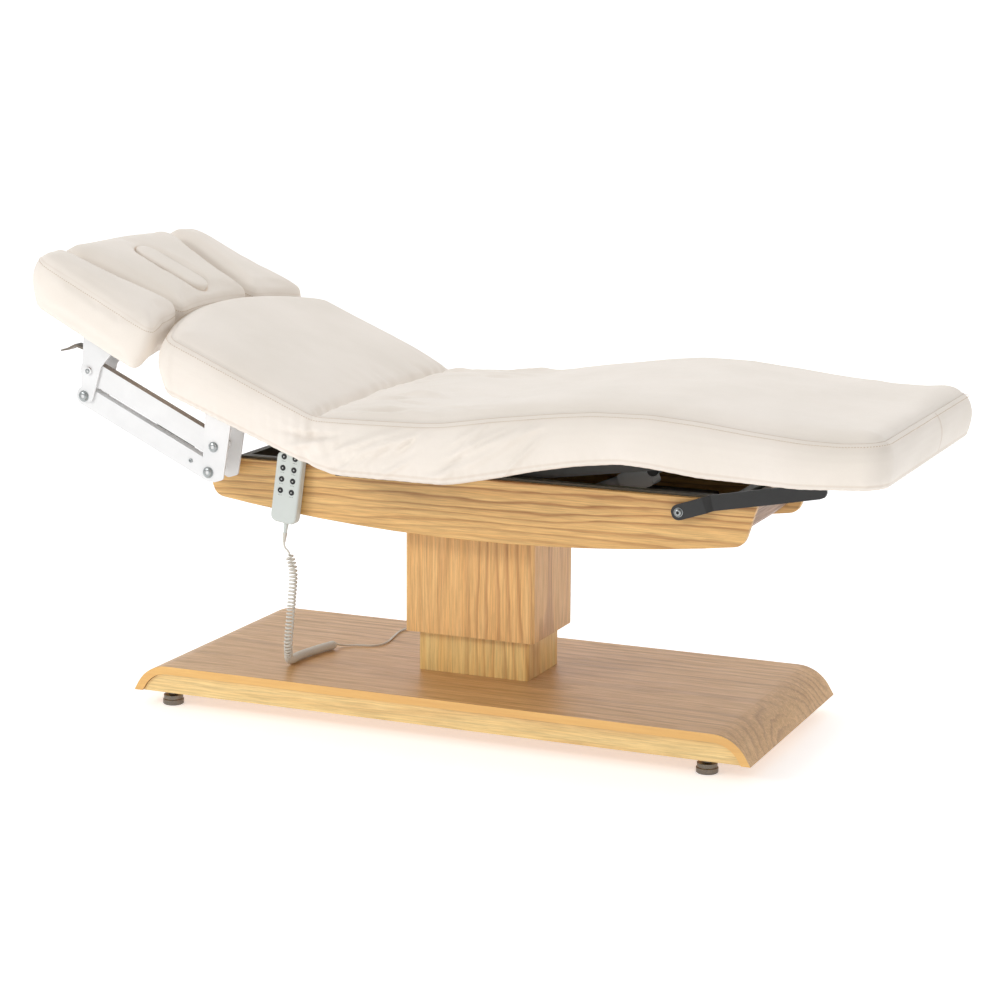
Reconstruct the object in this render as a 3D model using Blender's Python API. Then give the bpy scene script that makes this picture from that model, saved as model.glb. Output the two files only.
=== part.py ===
"""Facial treatment bed: a bent-wood plinth, a telescoping lift column, a wooden trough,
a three-section mattress on steel frames, and a headrest on two parallelogram arms.

Metres, +Z up. +X points to the foot end, -Y is the side that carries the handset.
The origin is on the floor, under the middle of the bounding box."""

from math import cos, pi, radians, sin, tan

import bmesh
import bpy
from mathutils import Matrix, Vector

# ---------------------------------------------------------------- driving dimensions
GAP = 0.0003  # running gap between pieces that touch

COLUMN_X = -0.020  # middle of the lift column
PLINTH_X = -0.032  # middle of the plinth
PLINTH_LENGTH = 1.466
PLINTH_WIDTH = 0.616
PLINTH_TOP = 0.098
PLINTH_SHEET = 0.018
PLINTH_BOTTOM = 0.036
PLINTH_BEND_RADIUS = 0.085
PLINTH_BEND = radians(60)
APRON_RECESS = 0.006
APRON_THICKNESS = 0.016
FOOT_X = (-0.690, 0.592)
FOOT_Y = 0.262
FOOT_RADIUS = 0.024

LOWER_SLEEVE = (0.266, 0.178)
LOWER_SLEEVE_TOP = 0.350
UPPER_SLEEVE = (0.310, 0.226)
UPPER_SLEEVE_BOTTOM = 0.191
SLEEVE_WALL = 0.015

TROUGH_WIDTH = 0.405
TROUGH_TOP = 0.569
TROUGH_BELLY = 0.4325  # lowest point of the bowed side panels
TROUGH_BELLY_X = 0.040
TROUGH_BOW = 0.118  # the side panel's lower edge rises by this times the distance squared
PANEL = 0.015
HULL_SHEET = 0.012
HULL_RECESS = 0.006

BED_HALF_WIDTH = 0.375

BACK_HINGE = (-0.270, 0.575)
BACK_TILT = 22.5
BACK_CUSHION = (0.026, 0.141)  # lowest and highest above the hinge plane
BACK_LENGTH = 0.460
BACK_BULGE = 0.075  # how far the middle of the head end stands out
BACK_LEAN = 32.7  # the lower end leans back by this, so that the backrest can fold

SEAT_CUSHION = (0.586, 0.727)
SEAT_PLATE = (0.572, 0.5855)
SEAT_LEAN_HEAD = 32.7
SEAT_LEAN_FOOT = 12.4

THIGH_HINGE = (0.010, 0.575)
THIGH_TILT = 8.5
THIGH_LENGTH = 0.450
THIGH_CUSHION = (0.018, 0.153)
THIGH_LEAN = 12.4

KNEE = (
    THIGH_HINGE[0] + THIGH_LENGTH * cos(radians(THIGH_TILT)),
    THIGH_HINGE[1] + THIGH_LENGTH * sin(radians(THIGH_TILT)),
)
CALF_TILT = -4.9
CALF_CUSHION = (0.020, 0.145)
CALF_LENGTH = 0.5325
KNEE_LEAN = 4.0

STRUT_PIVOT = (0.503, 0.540)
STRUT_END = (0.800, 0.607)
STRUT_BEND = (0.572, 0.5635)
STRUT_HEIGHT = 0.034

ARM_BACK_UPPER = (-0.555, 0.610)
ARM_BACK_LOWER = (-0.569, 0.552)
ARM_REACH = (-0.316, 0.149)  # from the pivots on the backrest to those on the headrest
ARM_HEAD_UPPER = (ARM_BACK_UPPER[0] + ARM_REACH[0], ARM_BACK_UPPER[1] + ARM_REACH[1])
ARM_HEAD_LOWER = (ARM_BACK_LOWER[0] + ARM_REACH[0], ARM_BACK_LOWER[1] + ARM_REACH[1])
ARM_Y = (0.272, 0.294)
PLATE_Y = (0.228, 0.300)  # outer faces of the two plates of a bracket
PLATE = 0.004
PIN_RADIUS = 0.006
PIN_HOLE = 0.0065

HEAD_TILT = 25.5
HEAD_PAD = (0.153, 0.259)  # lowest and highest above the lower head pivot
HEAD_FOOT_END = 0.124  # along the tilted headrest, towards the backrest
HEAD_LENGTH = 0.360
HEAD_BULGE = 0.032
HEAD_LEAN = 0.052  # the underside of the pads is this much shorter at the head
SLOT_LENGTH = 0.200
SLOT_WIDTH = 0.075
SLOT_X = -0.062

LEVER_PIVOT = (-0.872, 0.803)
GAS_LOWER = (-0.643, 0.592)
GAS_UPPER = (-0.845, 0.745)
GAS_Y = 0.251

BACK_ACTUATOR_FIXED = (0.120, 0.505)
BACK_ACTUATOR_LEVER = (-0.2544, 0.4864)
LEG_ACTUATOR_FIXED = (0.125, 0.482)
LEG_ACTUATOR_LEVER = (0.395, 0.596)
LEG_ACTUATOR_Y = -0.050

HANDSET_WIDTH = 0.064
HANDSET_THICKNESS = 0.024
HANDSET_BOTTOM = (-0.4215, 0.4375)
HANDSET_LENGTH = 0.160
HANDSET_LEAN = 7.7
HANDSET_FRONT_Y = -0.2325
BUTTON_RADIUS = 0.0062
BUTTON_PITCH = 0.0257
BUTTON_COLUMN = 0.0138
BUTTON_ROWS = 4

CORD_RADIUS = 0.0025
COIL_RADIUS = 0.0105
CORD_GLAND = (-0.060, 0.165)

# ---------------------------------------------------------------- colours
WOOD_LIGHT = (0.62, 0.38, 0.17, 1)
WOOD_TOP = (0.46, 0.31, 0.19, 1)
LEATHER = (0.84, 0.77, 0.70, 1)
WHITE_PAINT = (0.88, 0.88, 0.87, 1)
BLACK_PAINT = (0.02, 0.02, 0.02, 1)
OLIVE_PAINT = (0.09, 0.085, 0.065, 1)
GREY_PLASTIC = (0.33, 0.33, 0.33, 1)
HANDSET_GREY = (0.60, 0.66, 0.65, 1)
CORD_GREY = (0.74, 0.74, 0.72, 1)
BARE_STEEL = (0.55, 0.55, 0.55, 1)
CHROME = (0.75, 0.74, 0.70, 1)


def clear_scene():
    for thing in list(bpy.data.objects):
        bpy.data.objects.remove(thing)


def material(name, colour, roughness, metallic=0.0):
    """One Principled material for each finish."""
    found = bpy.data.materials.get(name)
    if found:
        return found
    made = bpy.data.materials.new(name)
    made.use_nodes = True
    shader = made.node_tree.nodes["Principled BSDF"]
    shader.inputs["Base Color"].default_value = colour
    shader.inputs["Roughness"].default_value = roughness
    shader.inputs["Metallic"].default_value = metallic
    return made


def joint(name, x=0.0, y=0.0, z=0.0, tilt=0.0, parent=None):
    """An empty on a joint's axis. A positive tilt, in degrees, lifts the head side."""
    empty = bpy.data.objects.new(name, None)
    bpy.context.scene.collection.objects.link(empty)
    world = Matrix.Translation((x, y, z)) @ Matrix.Rotation(radians(tilt), 4, "Y")
    if parent:
        empty.parent = parent
        bpy.context.view_layer.update()
    empty.matrix_world = world
    bpy.context.view_layer.update()
    return empty


def finish(name, bm, finish_material, parent, local=False):
    """Turns a bmesh into a named object. Unless local is true its points are in world
    space, and they are moved to the parent's own axes."""
    bmesh.ops.remove_doubles(bm, verts=bm.verts, dist=1e-6)
    bmesh.ops.recalc_face_normals(bm, faces=bm.faces)
    mesh = bpy.data.meshes.new(name)
    bm.to_mesh(mesh)
    bm.free()
    mesh.materials.append(finish_material)
    mesh.shade_smooth()
    mesh.set_sharp_from_angle(angle=radians(35))
    made = bpy.data.objects.new(name, mesh)
    bpy.context.scene.collection.objects.link(made)
    if parent:
        if not local:
            mesh.transform(parent.matrix_world.inverted())
        made.parent = parent
    return made


def add_prism(bm, outline, low, high, axis="Y"):
    """Adds an extruded closed outline. The outline is in XZ for axis Y, XY for axis Z
    and YZ for axis X."""
    def place(u, v, w):
        if axis == "Y":
            return (u, w, v)
        if axis == "Z":
            return (u, v, w)
        return (w, u, v)

    near = [bm.verts.new(place(u, v, low)) for u, v in outline]
    far = [bm.verts.new(place(u, v, high)) for u, v in outline]
    bm.faces.new(near)
    bm.faces.new(far)
    count = len(outline)
    for i in range(count):
        j = (i + 1) % count
        bm.faces.new((near[i], near[j], far[j], far[i]))


def prism(name, outline, low, high, finish_material, parent, axis="Y", local=False):
    bm = bmesh.new()
    add_prism(bm, outline, low, high, axis)
    return finish(name, bm, finish_material, parent, local)


def box_outline(low, high):
    return [(low[0], low[1]), (high[0], low[1]), (high[0], high[1]), (low[0], high[1])]


def box(name, low, high, finish_material, parent, local=False):
    outline = box_outline(low[:2], high[:2])
    return prism(name, outline, low[2], high[2], finish_material, parent, "Z", local)


def circle(centre, radius, sides=20, start=0.0):
    return [
        (
            centre[0] + radius * cos(start + 2 * pi * i / sides),
            centre[1] + radius * sin(start + 2 * pi * i / sides),
        )
        for i in range(sides)
    ]


def rounded(corners, radii, steps=5):
    """A closed outline whose corners are replaced by arcs."""
    outline = []
    count = len(corners)
    for i, corner in enumerate(corners):
        radius = radii[i] if isinstance(radii, (list, tuple)) else radii
        here = Vector(corner)
        before = (Vector(corners[i - 1]) - here).normalized()
        after = (Vector(corners[(i + 1) % count]) - here).normalized()
        half = before.angle(after) / 2
        if radius <= 0 or half > radians(89):
            outline.append(tuple(here))
            continue
        reach = radius * cos(half) / sin(half)
        start = here + before * reach
        stop = here + after * reach
        centre = here + (before + after).normalized() * (radius / sin(half))
        a = start - centre
        turn = a.angle_signed(stop - centre)
        for k in range(steps + 1):
            angle = -turn * k / steps
            swung = Vector((a.x * cos(angle) - a.y * sin(angle), a.x * sin(angle) + a.y * cos(angle)))
            outline.append(tuple(centre + swung))
    return outline


def thickened(path, thickness):
    """A sheet of even thickness whose outer face follows an open path. The sheet lies to
    the left of the path's direction."""
    inner = []
    for i, point in enumerate(path):
        before = Vector(path[max(i - 1, 0)])
        after = Vector(path[min(i + 1, len(path) - 1)])
        along = (after - before).normalized()
        inner.append((point[0] - along.y * thickness, point[1] + along.x * thickness))
    return list(path) + inner[::-1]


def stadium(start, end, radius, steps=8):
    """The outline round a straight line, with half-round ends."""
    along = (Vector(end) - Vector(start)).normalized()
    lean = Vector((1, 0)).angle_signed(along) if along.y else 0.0
    lean = -lean if along.y else (0.0 if along.x > 0 else pi)
    outline = []
    for centre, first in ((end, -pi / 2), (start, pi / 2)):
        for k in range(steps + 1):
            angle = lean + first + pi * k / steps
            outline.append((centre[0] + radius * cos(angle), centre[1] + radius * sin(angle)))
    return outline


def cutter(name, bm, parent=None, local=False):
    """A helper for Boolean modifiers, which is neither rendered nor built."""
    made = finish(name, bm, material("helper", (0.8, 0.2, 0.2, 1), 0.8), parent, local)
    made.hide_render = True
    made.display_type = "WIRE"
    return made


def combine(target, tool, operation):
    change = target.modifiers.new(tool.name, "BOOLEAN")
    change.operation = operation
    change.object = tool
    change.solver = "EXACT"


def cut_prism(target, name, outline, low, high, axis="Y", parent=None, local=False):
    bm = bmesh.new()
    add_prism(bm, outline, low, high, axis)
    combine(target, cutter(name, bm, parent, local), "DIFFERENCE")


def add_to(target, name, outline, low, high, axis="Y", parent=None, local=False):
    bm = bmesh.new()
    add_prism(bm, outline, low, high, axis)
    combine(target, cutter(name, bm, parent, local), "UNION")


def soften(target, width, segments=2):
    """Rounds the long edges of a solid."""
    bevel = target.modifiers.new("soft_edges", "BEVEL")
    bevel.width = width
    bevel.segments = segments
    bevel.limit_method = "ANGLE"
    bevel.angle_limit = radians(40)


def turned(name, profile, centre, finish_material, parent, sides=24):
    """A solid of revolution about a vertical axis. The profile holds (radius, height)
    pairs from the bottom to the top, both ends on the axis."""
    bm = bmesh.new()
    rings = []
    for radius, height in profile:
        if radius == 0:
            rings.append([bm.verts.new((centre[0], centre[1], height))])
            continue
        ring = circle(centre, radius, sides)
        rings.append([bm.verts.new((x, y, height)) for x, y in ring])
    for low, high in zip(rings, rings[1:]):
        for i in range(sides):
            j = (i + 1) % sides
            if len(low) == 1:
                bm.faces.new((low[0], high[j], high[i]))
            elif len(high) == 1:
                bm.faces.new((low[i], low[j], high[0]))
            else:
                bm.faces.new((low[i], low[j], high[j], high[i]))
    return finish(name, bm, finish_material, parent)


def rod_between(bm, start, end, radius, sides=16):
    """Adds a capped cylinder between two points."""
    start, end = Vector(start), Vector(end)
    along = end - start
    turn = along.to_track_quat("Z", "Y").to_matrix().to_4x4()
    place = Matrix.Translation((start + end) / 2) @ turn
    bmesh.ops.create_cone(
        bm,
        cap_ends=True,
        segments=sides,
        radius1=radius,
        radius2=radius,
        depth=along.length,
        matrix=place,
    )


def add_rod(target, name, start, end, radius, operation="UNION", sides=16, parent=None):
    bm = bmesh.new()
    rod_between(bm, start, end, radius, sides)
    combine(target, cutter(name, bm, parent), operation)


def mirrored(outline):
    return [(x, -y) for x, y in outline]


# ---------------------------------------------------------------- shared shapes
def bow(x):
    """Height of the trough's lower edge."""
    return TROUGH_BELLY + TROUGH_BOW * (x - TROUGH_BELLY_X) ** 2


def plinth_path(inset, steps=8):
    """The plinth's outer line from the head end to the foot end, or a line inside it."""
    half = PLINTH_LENGTH / 2
    radius = PLINTH_BEND_RADIUS
    drop = radius * (1 - cos(PLINTH_BEND))
    tail = (PLINTH_TOP - PLINTH_BOTTOM - drop) / sin(PLINTH_BEND)
    run = radius * sin(PLINTH_BEND) + tail * cos(PLINTH_BEND)
    bend_x = half - run
    bend_z = PLINTH_TOP - radius
    points = []
    for k in range(steps + 1):
        angle = PLINTH_BEND * k / steps
        reach = radius - inset
        points.append((bend_x + reach * sin(angle), bend_z + reach * cos(angle)))
    last = points[-1]
    stretch = (last[1] - PLINTH_BOTTOM) / sin(PLINTH_BEND)
    points.append((last[0] + stretch * cos(PLINTH_BEND), PLINTH_BOTTOM))
    foot = [(PLINTH_X + x, z) for x, z in points]
    head = [(PLINTH_X - x, z) for x, z in reversed(points)]
    return head + foot


def back_point(along, above):
    """World (x, z) of a point on the backrest, along it from the hinge and above it."""
    tilt = radians(BACK_TILT)
    return (
        BACK_HINGE[0] - along * cos(tilt) + above * sin(tilt),
        BACK_HINGE[1] + along * sin(tilt) + above * cos(tilt),
    )


def head_point(along, above):
    """World (x, z) of a point in the headrest's tilted axes, from the lower head pivot."""
    tilt = radians(HEAD_TILT)
    return (
        ARM_HEAD_LOWER[0] + along * cos(tilt) + above * sin(tilt),
        ARM_HEAD_LOWER[1] - along * sin(tilt) + above * cos(tilt),
    )


def bulge(y, half, depth):
    """Depth of an arc's point at y, where the arc stands out by depth at y = 0."""
    radius = (half * half + depth * depth) / (2 * depth)
    return (radius * radius - y * y) ** 0.5 - (radius - depth)


def arc_points(x, half, depth, first, last, steps=8):
    """Points of a shallow arc across the bed, from y = first to y = last."""
    points = []
    for k in range(steps + 1):
        y = first + (last - first) * k / steps
        points.append((x - bulge(y, half, depth), y))
    return points


# ---------------------------------------------------------------- plinth and column
def make_plinth(wood, wood_top, chrome, grey):
    half = PLINTH_WIDTH / 2
    outer = plinth_path(0)
    inner = plinth_path(PLINTH_SHEET)
    shell = prism("base_top_shell", outer + inner[::-1], -half, half, wood_top, None)
    shell.location = (0, 0, 0)
    line = plinth_path(PLINTH_SHEET + 0.001)
    deep = half - APRON_RECESS
    for side, sign in (("near", -1), ("far", 1)):
        low, high = sorted((sign * deep, sign * (deep - APRON_THICKNESS)))
        apron = prism("base_apron_" + side, line, low, high, wood, None)
        for end, x in zip(("head", "foot"), FOOT_X):
            inside, outside = sorted((sign * (FOOT_Y - 0.024), sign * (deep - 0.004)))
            block = box_outline((x - 0.024, inside), (x + 0.024, outside))
            add_to(apron, f"block_{side}_{end}", block, PLINTH_BOTTOM + 0.002, 0.066, "Z")
            hole = circle((x, sign * FOOT_Y), 0.0066, 16)
            cut_prism(apron, f"foot_hole_{side}_{end}", hole, 0.02, 0.060, "Z")
            profile = (
                (0, 0),
                (FOOT_RADIUS - 0.002, 0),
                (FOOT_RADIUS, 0.002),
                (FOOT_RADIUS, 0.012),
                (FOOT_RADIUS - 0.002, 0.0135),
                (FOOT_RADIUS - 0.002, 0.022),
                (0.011, 0.024),
                (0.011, 0.031),
                (0.006, 0.031),
                (0.006, 0.058),
                (0, 0.058),
            )
            axis = joint(f"foot_axis_{side}_{end}", x, sign * FOOT_Y, 0)
            name = f"levelling_foot_{side}_{end}"
            turned(name, profile, (x, sign * FOOT_Y), chrome, axis)
        if side == "far":
            opening = box_outline((0.180, 0.043), (0.230, 0.071))
            cut_prism(apron, "inlet_hole", opening, 0.24, 0.32)
            shape = box_outline((0.1803, 0.0433), (0.2297, 0.0707))
            inlet = prism("mains_inlet", shape, 0.280, deep + 0.002, grey, None)
            mouth = box_outline((0.187, 0.0475), (0.223, 0.0665))
            cut_prism(inlet, "inlet_mouth", mouth, deep - 0.012, deep + 0.01)


def sleeve(name, size, bottom, top, wood, parent):
    half_x, half_y = size[0] / 2, size[1] / 2
    corners = box_outline((COLUMN_X - half_x, -half_y), (COLUMN_X + half_x, half_y))
    outline = rounded(corners, 0.006, 3)
    made = prism(name, outline, bottom, top, wood, parent, "Z")
    wall = SLEEVE_WALL
    hollow = box_outline(
        (COLUMN_X - half_x + wall, -half_y + wall), (COLUMN_X + half_x - wall, half_y - wall)
    )
    cut_prism(made, name + "_hollow", hollow, bottom - 0.1, top + 0.1, "Z", parent)
    return made


def make_column(wood, steel, rubber, top):
    sleeve("column_lower_sleeve", LOWER_SLEEVE, PLINTH_TOP + GAP, LOWER_SLEEVE_TOP, wood, None)
    under_hull = TROUGH_BELLY + HULL_RECESS - 0.001
    sleeve("column_upper_sleeve", UPPER_SLEEVE, UPPER_SLEEVE_BOTTOM, under_hull, wood, top)
    x = COLUMN_X
    outer = box_outline((x - 0.055, -0.045), (x + 0.055, 0.045))
    inner = box_outline((x - 0.0485, -0.0385), (x + 0.0485, 0.0385))
    fixed = prism("lift_column_outer", outer, PLINTH_TOP + GAP, 0.350, steel, None, "Z")
    cut_prism(fixed, "lift_bore", inner, PLINTH_TOP + 0.008, 0.5, "Z")
    core = box_outline((x - 0.048, -0.038), (x + 0.048, 0.038))
    moving = prism("lift_column_inner", core, 0.1925, 0.4515, steel, top, "Z")
    flange = box_outline((x - 0.090, -0.075), (x + 0.090, 0.075))
    add_to(moving, "lift_flange", flange, 0.4515 + 0.0055, 0.465, "Z", top)
    neck = box_outline((x - 0.044, -0.034), (x + 0.044, 0.034))
    add_to(moving, "lift_neck", neck, 0.440, 0.460, "Z", top)
    gland = (
        (0, PLINTH_TOP + GAP),
        (0.014, PLINTH_TOP + GAP),
        (0.014, PLINTH_TOP + 0.003),
        (0.010, PLINTH_TOP + 0.009),
        (0.006, PLINTH_TOP + 0.0162),
        (0, PLINTH_TOP + 0.0162),
    )
    grommet = turned("cord_gland", gland, CORD_GLAND, rubber, None, 20)


# ---------------------------------------------------------------- trough
def make_trough(wood, wood_top, olive, steel, top):
    half = TROUGH_WIDTH / 2
    left, right = -0.604, 0.640
    steps = 14
    belly = [(left + (right - left) * k / steps, 0) for k in range(steps + 1)]
    corners = [(-0.636, TROUGH_TOP)] + [(x, bow(x)) for x, _ in belly] + [(0.670, TROUGH_TOP)]
    radii = [0, 0.030] + [0] * (steps - 1) + [0.030, 0]
    outline = rounded(corners, radii)
    for side, sign in (("near", -1), ("far", 1)):
        low, high = sorted((sign * half, sign * (half - PANEL)))
        panel = prism("trough_side_" + side, outline, low, high, wood, top)
        soften(panel, 0.0012, 1)

    floor_left, floor_right = -0.545, 0.612
    path = [(-0.571, TROUGH_TOP - 0.003), (-0.556, 0.500)]
    for k in range(13):
        x = floor_left + 0.02 + (floor_right - floor_left - 0.04) * k / 12
        path.append((x, bow(x) + HULL_RECESS))
    path += [(0.623, 0.500), (0.638, TROUGH_TOP - 0.003)]
    inside = half - PANEL - 0.0005
    hull = prism("trough_hull", thickened(path, HULL_SHEET), -inside, inside, wood_top, top)
    x = COLUMN_X
    hole = box_outline((x - 0.050, -0.040), (x + 0.050, 0.040))
    cut_prism(hull, "lift_hole", hole, 0.40, 0.50, "Z", top)

    rail = inside - 0.0005
    frame = box_outline((-0.5520, 0.548), (0.617, 0.574))
    made = prism("seat_frame", frame, -rail, rail, olive, top)
    ring_head = box_outline((-0.534, -rail + 0.022), (-0.250, rail - 0.022))
    cut_prism(made, "head_bay", ring_head, 0.5, 0.6, "Z", top)
    ring_foot = box_outline((-0.002, -rail + 0.022), (0.600, rail - 0.022))
    cut_prism(made, "foot_bay", ring_foot, 0.5, 0.6, "Z", top)
    under = box_outline((-0.256, 0.54), (-0.014, SEAT_PLATE[0] - 0.004))
    cut_prism(made, "seat_recess", under, -rail + 0.022, rail - 0.022, "Y", top)
    seat = box_outline((-0.255, SEAT_PLATE[0] - 0.002), (-0.005, SEAT_PLATE[1]))
    add_to(made, "seat_plate", seat, -0.300, 0.300, "Y", top)
    for name, x, z in (("back", *BACK_HINGE), ("thigh", *THIGH_HINGE)):
        toward = 0.012 if name == "back" else -0.012
        for sign in (-1, 1):
            low, high = sorted((sign * 0.122, sign * 0.150))
            lug = [(x, z - 0.008), (x + toward, z - 0.004), (x + 2 * toward, z + 0.004)]
            lug += [(x + 2 * toward, z + 0.0085), (x, z + 0.008), (x - toward * 0.67, z)]
            add_to(made, f"{name}_lug_{sign}", lug, low, high, "Y", top)

    carriage = box_outline((0.300, 0.4765), (0.470, 0.518))
    box_side = prism("control_box", carriage, 0.030, 0.150, steel, top)
    soften(box_side, 0.004, 2)


# ---------------------------------------------------------------- cushions and frames
def padded_block(name, outline_low, outline_high, low, high, leather, parent, edge):
    """A plain padded block with rounded edges between a lower and an upper outline, in
    its frame's own axes."""
    bm = bmesh.new()
    bottom = [bm.verts.new((x, y, low)) for x, y in outline_low]
    top = [bm.verts.new((x, y, high)) for x, y in outline_high]
    bm.faces.new(bottom)
    bm.faces.new(top)
    count = len(bottom)
    for i in range(count):
        j = (i + 1) % count
        bm.faces.new((bottom[i], bottom[j], top[j], top[i]))
    made = finish(name, bm, leather, parent, local=True)
    soften(made, edge, 2)
    return made


def wedge_block(name, head, foot, low, high, lean_head, lean_foot, leather, parent, corner=0.0):
    """A mattress section. Its head and foot ends lean inwards towards the top, by
    degrees, to leave room for the fold."""
    half = BED_HALF_WIDTH
    outlines = []
    for height in (low, high):
        x0 = head + (height - low) * tan(radians(lean_head))
        x1 = foot - (height - low) * tan(radians(lean_foot))
        corners = [(x0, -half), (x1, -half), (x1, half), (x0, half)]
        outline = rounded(corners, [0, corner, corner, 0], 4) if corner else corners
        outlines.append(outline)
    return padded_block(name, *outlines, low, high, leather, parent, 0.012)


def make_seat(leather, top):
    low, high = SEAT_CUSHION
    head, foot = BACK_HINGE[0] + 0.006, THIGH_HINGE[0] - 0.004
    flat = joint("seat_level", 0, 0, 0, 0, top)
    wedge_block("seat_cushion", head, foot, low, high, SEAT_LEAN_HEAD, SEAT_LEAN_FOOT, leather,
                flat)


def make_back(leather, black, white, back):
    low, high = BACK_CUSHION
    half = BED_HALF_WIDTH
    outlines = []
    for height in (low, high):
        start = -0.004 - height * tan(radians(BACK_LEAN))
        arc = arc_points(-BACK_LENGTH, half, BACK_BULGE, half, -half, 12)
        outlines.append([(start, -half), (start, half)] + arc)
    padded_block("back_cushion", *outlines, low, high, leather, back, 0.012)

    plate = box_outline((-0.452, -0.190), (-0.030, 0.190))
    frame = prism("back_frame", plate, 0.014, 0.0255, black, back, "Z", local=True)
    wings = box_outline((-0.330, -0.305), (-0.262, 0.305))
    add_to(frame, "bracket_wing", wings, 0.013, 0.025, "Z", back, True)
    tube = circle((0, 0), 0.0085, 14)
    add_to(frame, "back_knuckle", tube, -0.1215, 0.1215, "Y", back, True)
    web = [(-0.045, 0.016), (-0.004, -0.006), (0.004, 0.006), (-0.030, 0.020)]
    add_to(frame, "back_web", web, -0.1215, 0.1215, "Y", back, True)
    tilt = radians(BACK_TILT)
    dx = BACK_ACTUATOR_LEVER[0] - BACK_HINGE[0]
    dz = BACK_ACTUATOR_LEVER[1] - BACK_HINGE[1]
    eye = (dx * cos(tilt) - dz * sin(tilt), dx * sin(tilt) + dz * cos(tilt))
    for sign in (-1, 1):
        low_y, high_y = sorted((sign * 0.0185, sign * 0.0245))
        arm = stadium(eye, (-0.004, -0.002), 0.011)
        add_to(frame, f"actuator_arm_{sign}", arm, low_y, high_y, "Y", back, True)

    under = 0.0127
    outline = [
        (ARM_BACK_LOWER[0] - 0.016, ARM_BACK_LOWER[1] - 0.006),
        (ARM_BACK_LOWER[0] + 0.012, ARM_BACK_LOWER[1] - 0.022),
        (ARM_BACK_LOWER[0] + 0.037, ARM_BACK_LOWER[1] - 0.014),
        back_point(0.262, under),
        back_point(0.332, under),
    ]
    shape = rounded(outline, [0.006, 0.010, 0.008, 0, 0], 3)
    for side, sign in (("near", -1), ("far", 1)):
        low_y, high_y = sorted((sign * PLATE_Y[0], sign * PLATE_Y[1]))
        bracket = prism("head_mount_bracket_" + side, shape, low_y, high_y, white, back)
        gap_y = sorted((sign * (PLATE_Y[0] + PLATE), sign * (PLATE_Y[1] - PLATE)))
        room = [(-0.70, 0.45), (-0.45, 0.45), back_point(0.20, under - 0.004),
                back_point(0.40, under - 0.004)]
        cut_prism(bracket, f"mount_room_{side}", room, gap_y[0], gap_y[1], "Y", back)
        for where, pivot in (("upper", ARM_BACK_UPPER), ("lower", ARM_BACK_LOWER)):
            hole = circle(pivot, PIN_HOLE, 16)
            cut_prism(bracket, f"mount_hole_{side}_{where}", hole, -0.35, 0.35, "Y", back)


def make_thigh(leather, black, thigh):
    low, high = THIGH_CUSHION
    wedge_block("thigh_cushion", 0.004, THIGH_LENGTH - 0.002, low, high, THIGH_LEAN,
                KNEE_LEAN, leather, thigh)
    plate = box_outline((0.024, -0.180), (THIGH_LENGTH - 0.024, 0.180))
    frame = prism("thigh_frame", plate, 0.008, 0.0175, black, thigh, "Z", local=True)
    for sign in (-1, 1):
        low_y, high_y = sorted((sign * 0.126, sign * 0.152))
        rail = box_outline((0.060, -0.026), (THIGH_LENGTH - 0.022, 0.012))
        add_to(frame, f"thigh_rail_{sign}", rail, low_y, high_y, "Y", thigh, True)
    hinge = circle((0, 0), 0.0085, 14)
    add_to(frame, "thigh_knuckle", hinge, -0.1215, 0.1215, "Y", thigh, True)
    web = [(-0.004, 0.006), (0.004, -0.006), (0.040, 0.009), (0.030, 0.015)]
    add_to(frame, "thigh_web", web, -0.1215, 0.1215, "Y", thigh, True)
    knee = circle((THIGH_LENGTH, 0), 0.0085, 14)
    add_to(frame, "knee_knuckle", knee, -0.1215, 0.1215, "Y", thigh, True)
    knee_web = [
        (THIGH_LENGTH - 0.040, 0.009),
        (THIGH_LENGTH - 0.004, -0.006),
        (THIGH_LENGTH + 0.004, 0.006),
        (THIGH_LENGTH - 0.030, 0.015),
    ]
    add_to(frame, "knee_web", knee_web, -0.1215, 0.1215, "Y", thigh, True)
    tilt = radians(-THIGH_TILT)
    dx = LEG_ACTUATOR_LEVER[0] - THIGH_HINGE[0]
    dz = LEG_ACTUATOR_LEVER[1] - THIGH_HINGE[1]
    eye = (dx * cos(tilt) - dz * sin(tilt), dx * sin(tilt) + dz * cos(tilt))
    for sign in (-1, 1):
        side = LEG_ACTUATOR_Y + sign * 0.0325
        lug = stadium(eye, (eye[0] + 0.010, 0.004), 0.012)
        add_to(frame, f"leg_lug_{sign}", lug, side - 0.003, side + 0.003, "Y", thigh, True)


def make_calf(leather, black, calf):
    low, high = CALF_CUSHION
    wedge_block("calf_cushion", 0.002, CALF_LENGTH, low, high, KNEE_LEAN, 0, leather, calf,
                0.055)
    plate = box_outline((0.022, -0.180), (0.430, 0.180))
    frame = prism("calf_frame", plate, 0.0095, 0.0195, black, calf, "Z", local=True)
    wing = box_outline((0.310, -0.2005), (0.380, 0.2005))
    add_to(frame, "strut_wing", wing, 0.0105, 0.019, "Z", calf, True)
    for sign in (-1, 1):
        low_y, high_y = sorted((sign * 0.123, sign * 0.150))
        lug = stadium((0, 0), (0.034, 0.012), 0.0075, 6)
        add_to(frame, f"knee_lug_{sign}", lug, low_y, high_y, "Y", calf, True)
        low_y, high_y = sorted((sign * 0.1955, sign * 0.2005))
        ear = stadium((0.346, 0.000), (0.346, 0.005), 0.0135, 6)
        add_to(frame, f"strut_ear_{sign}", ear, low_y, high_y, "Y", calf, True)


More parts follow.
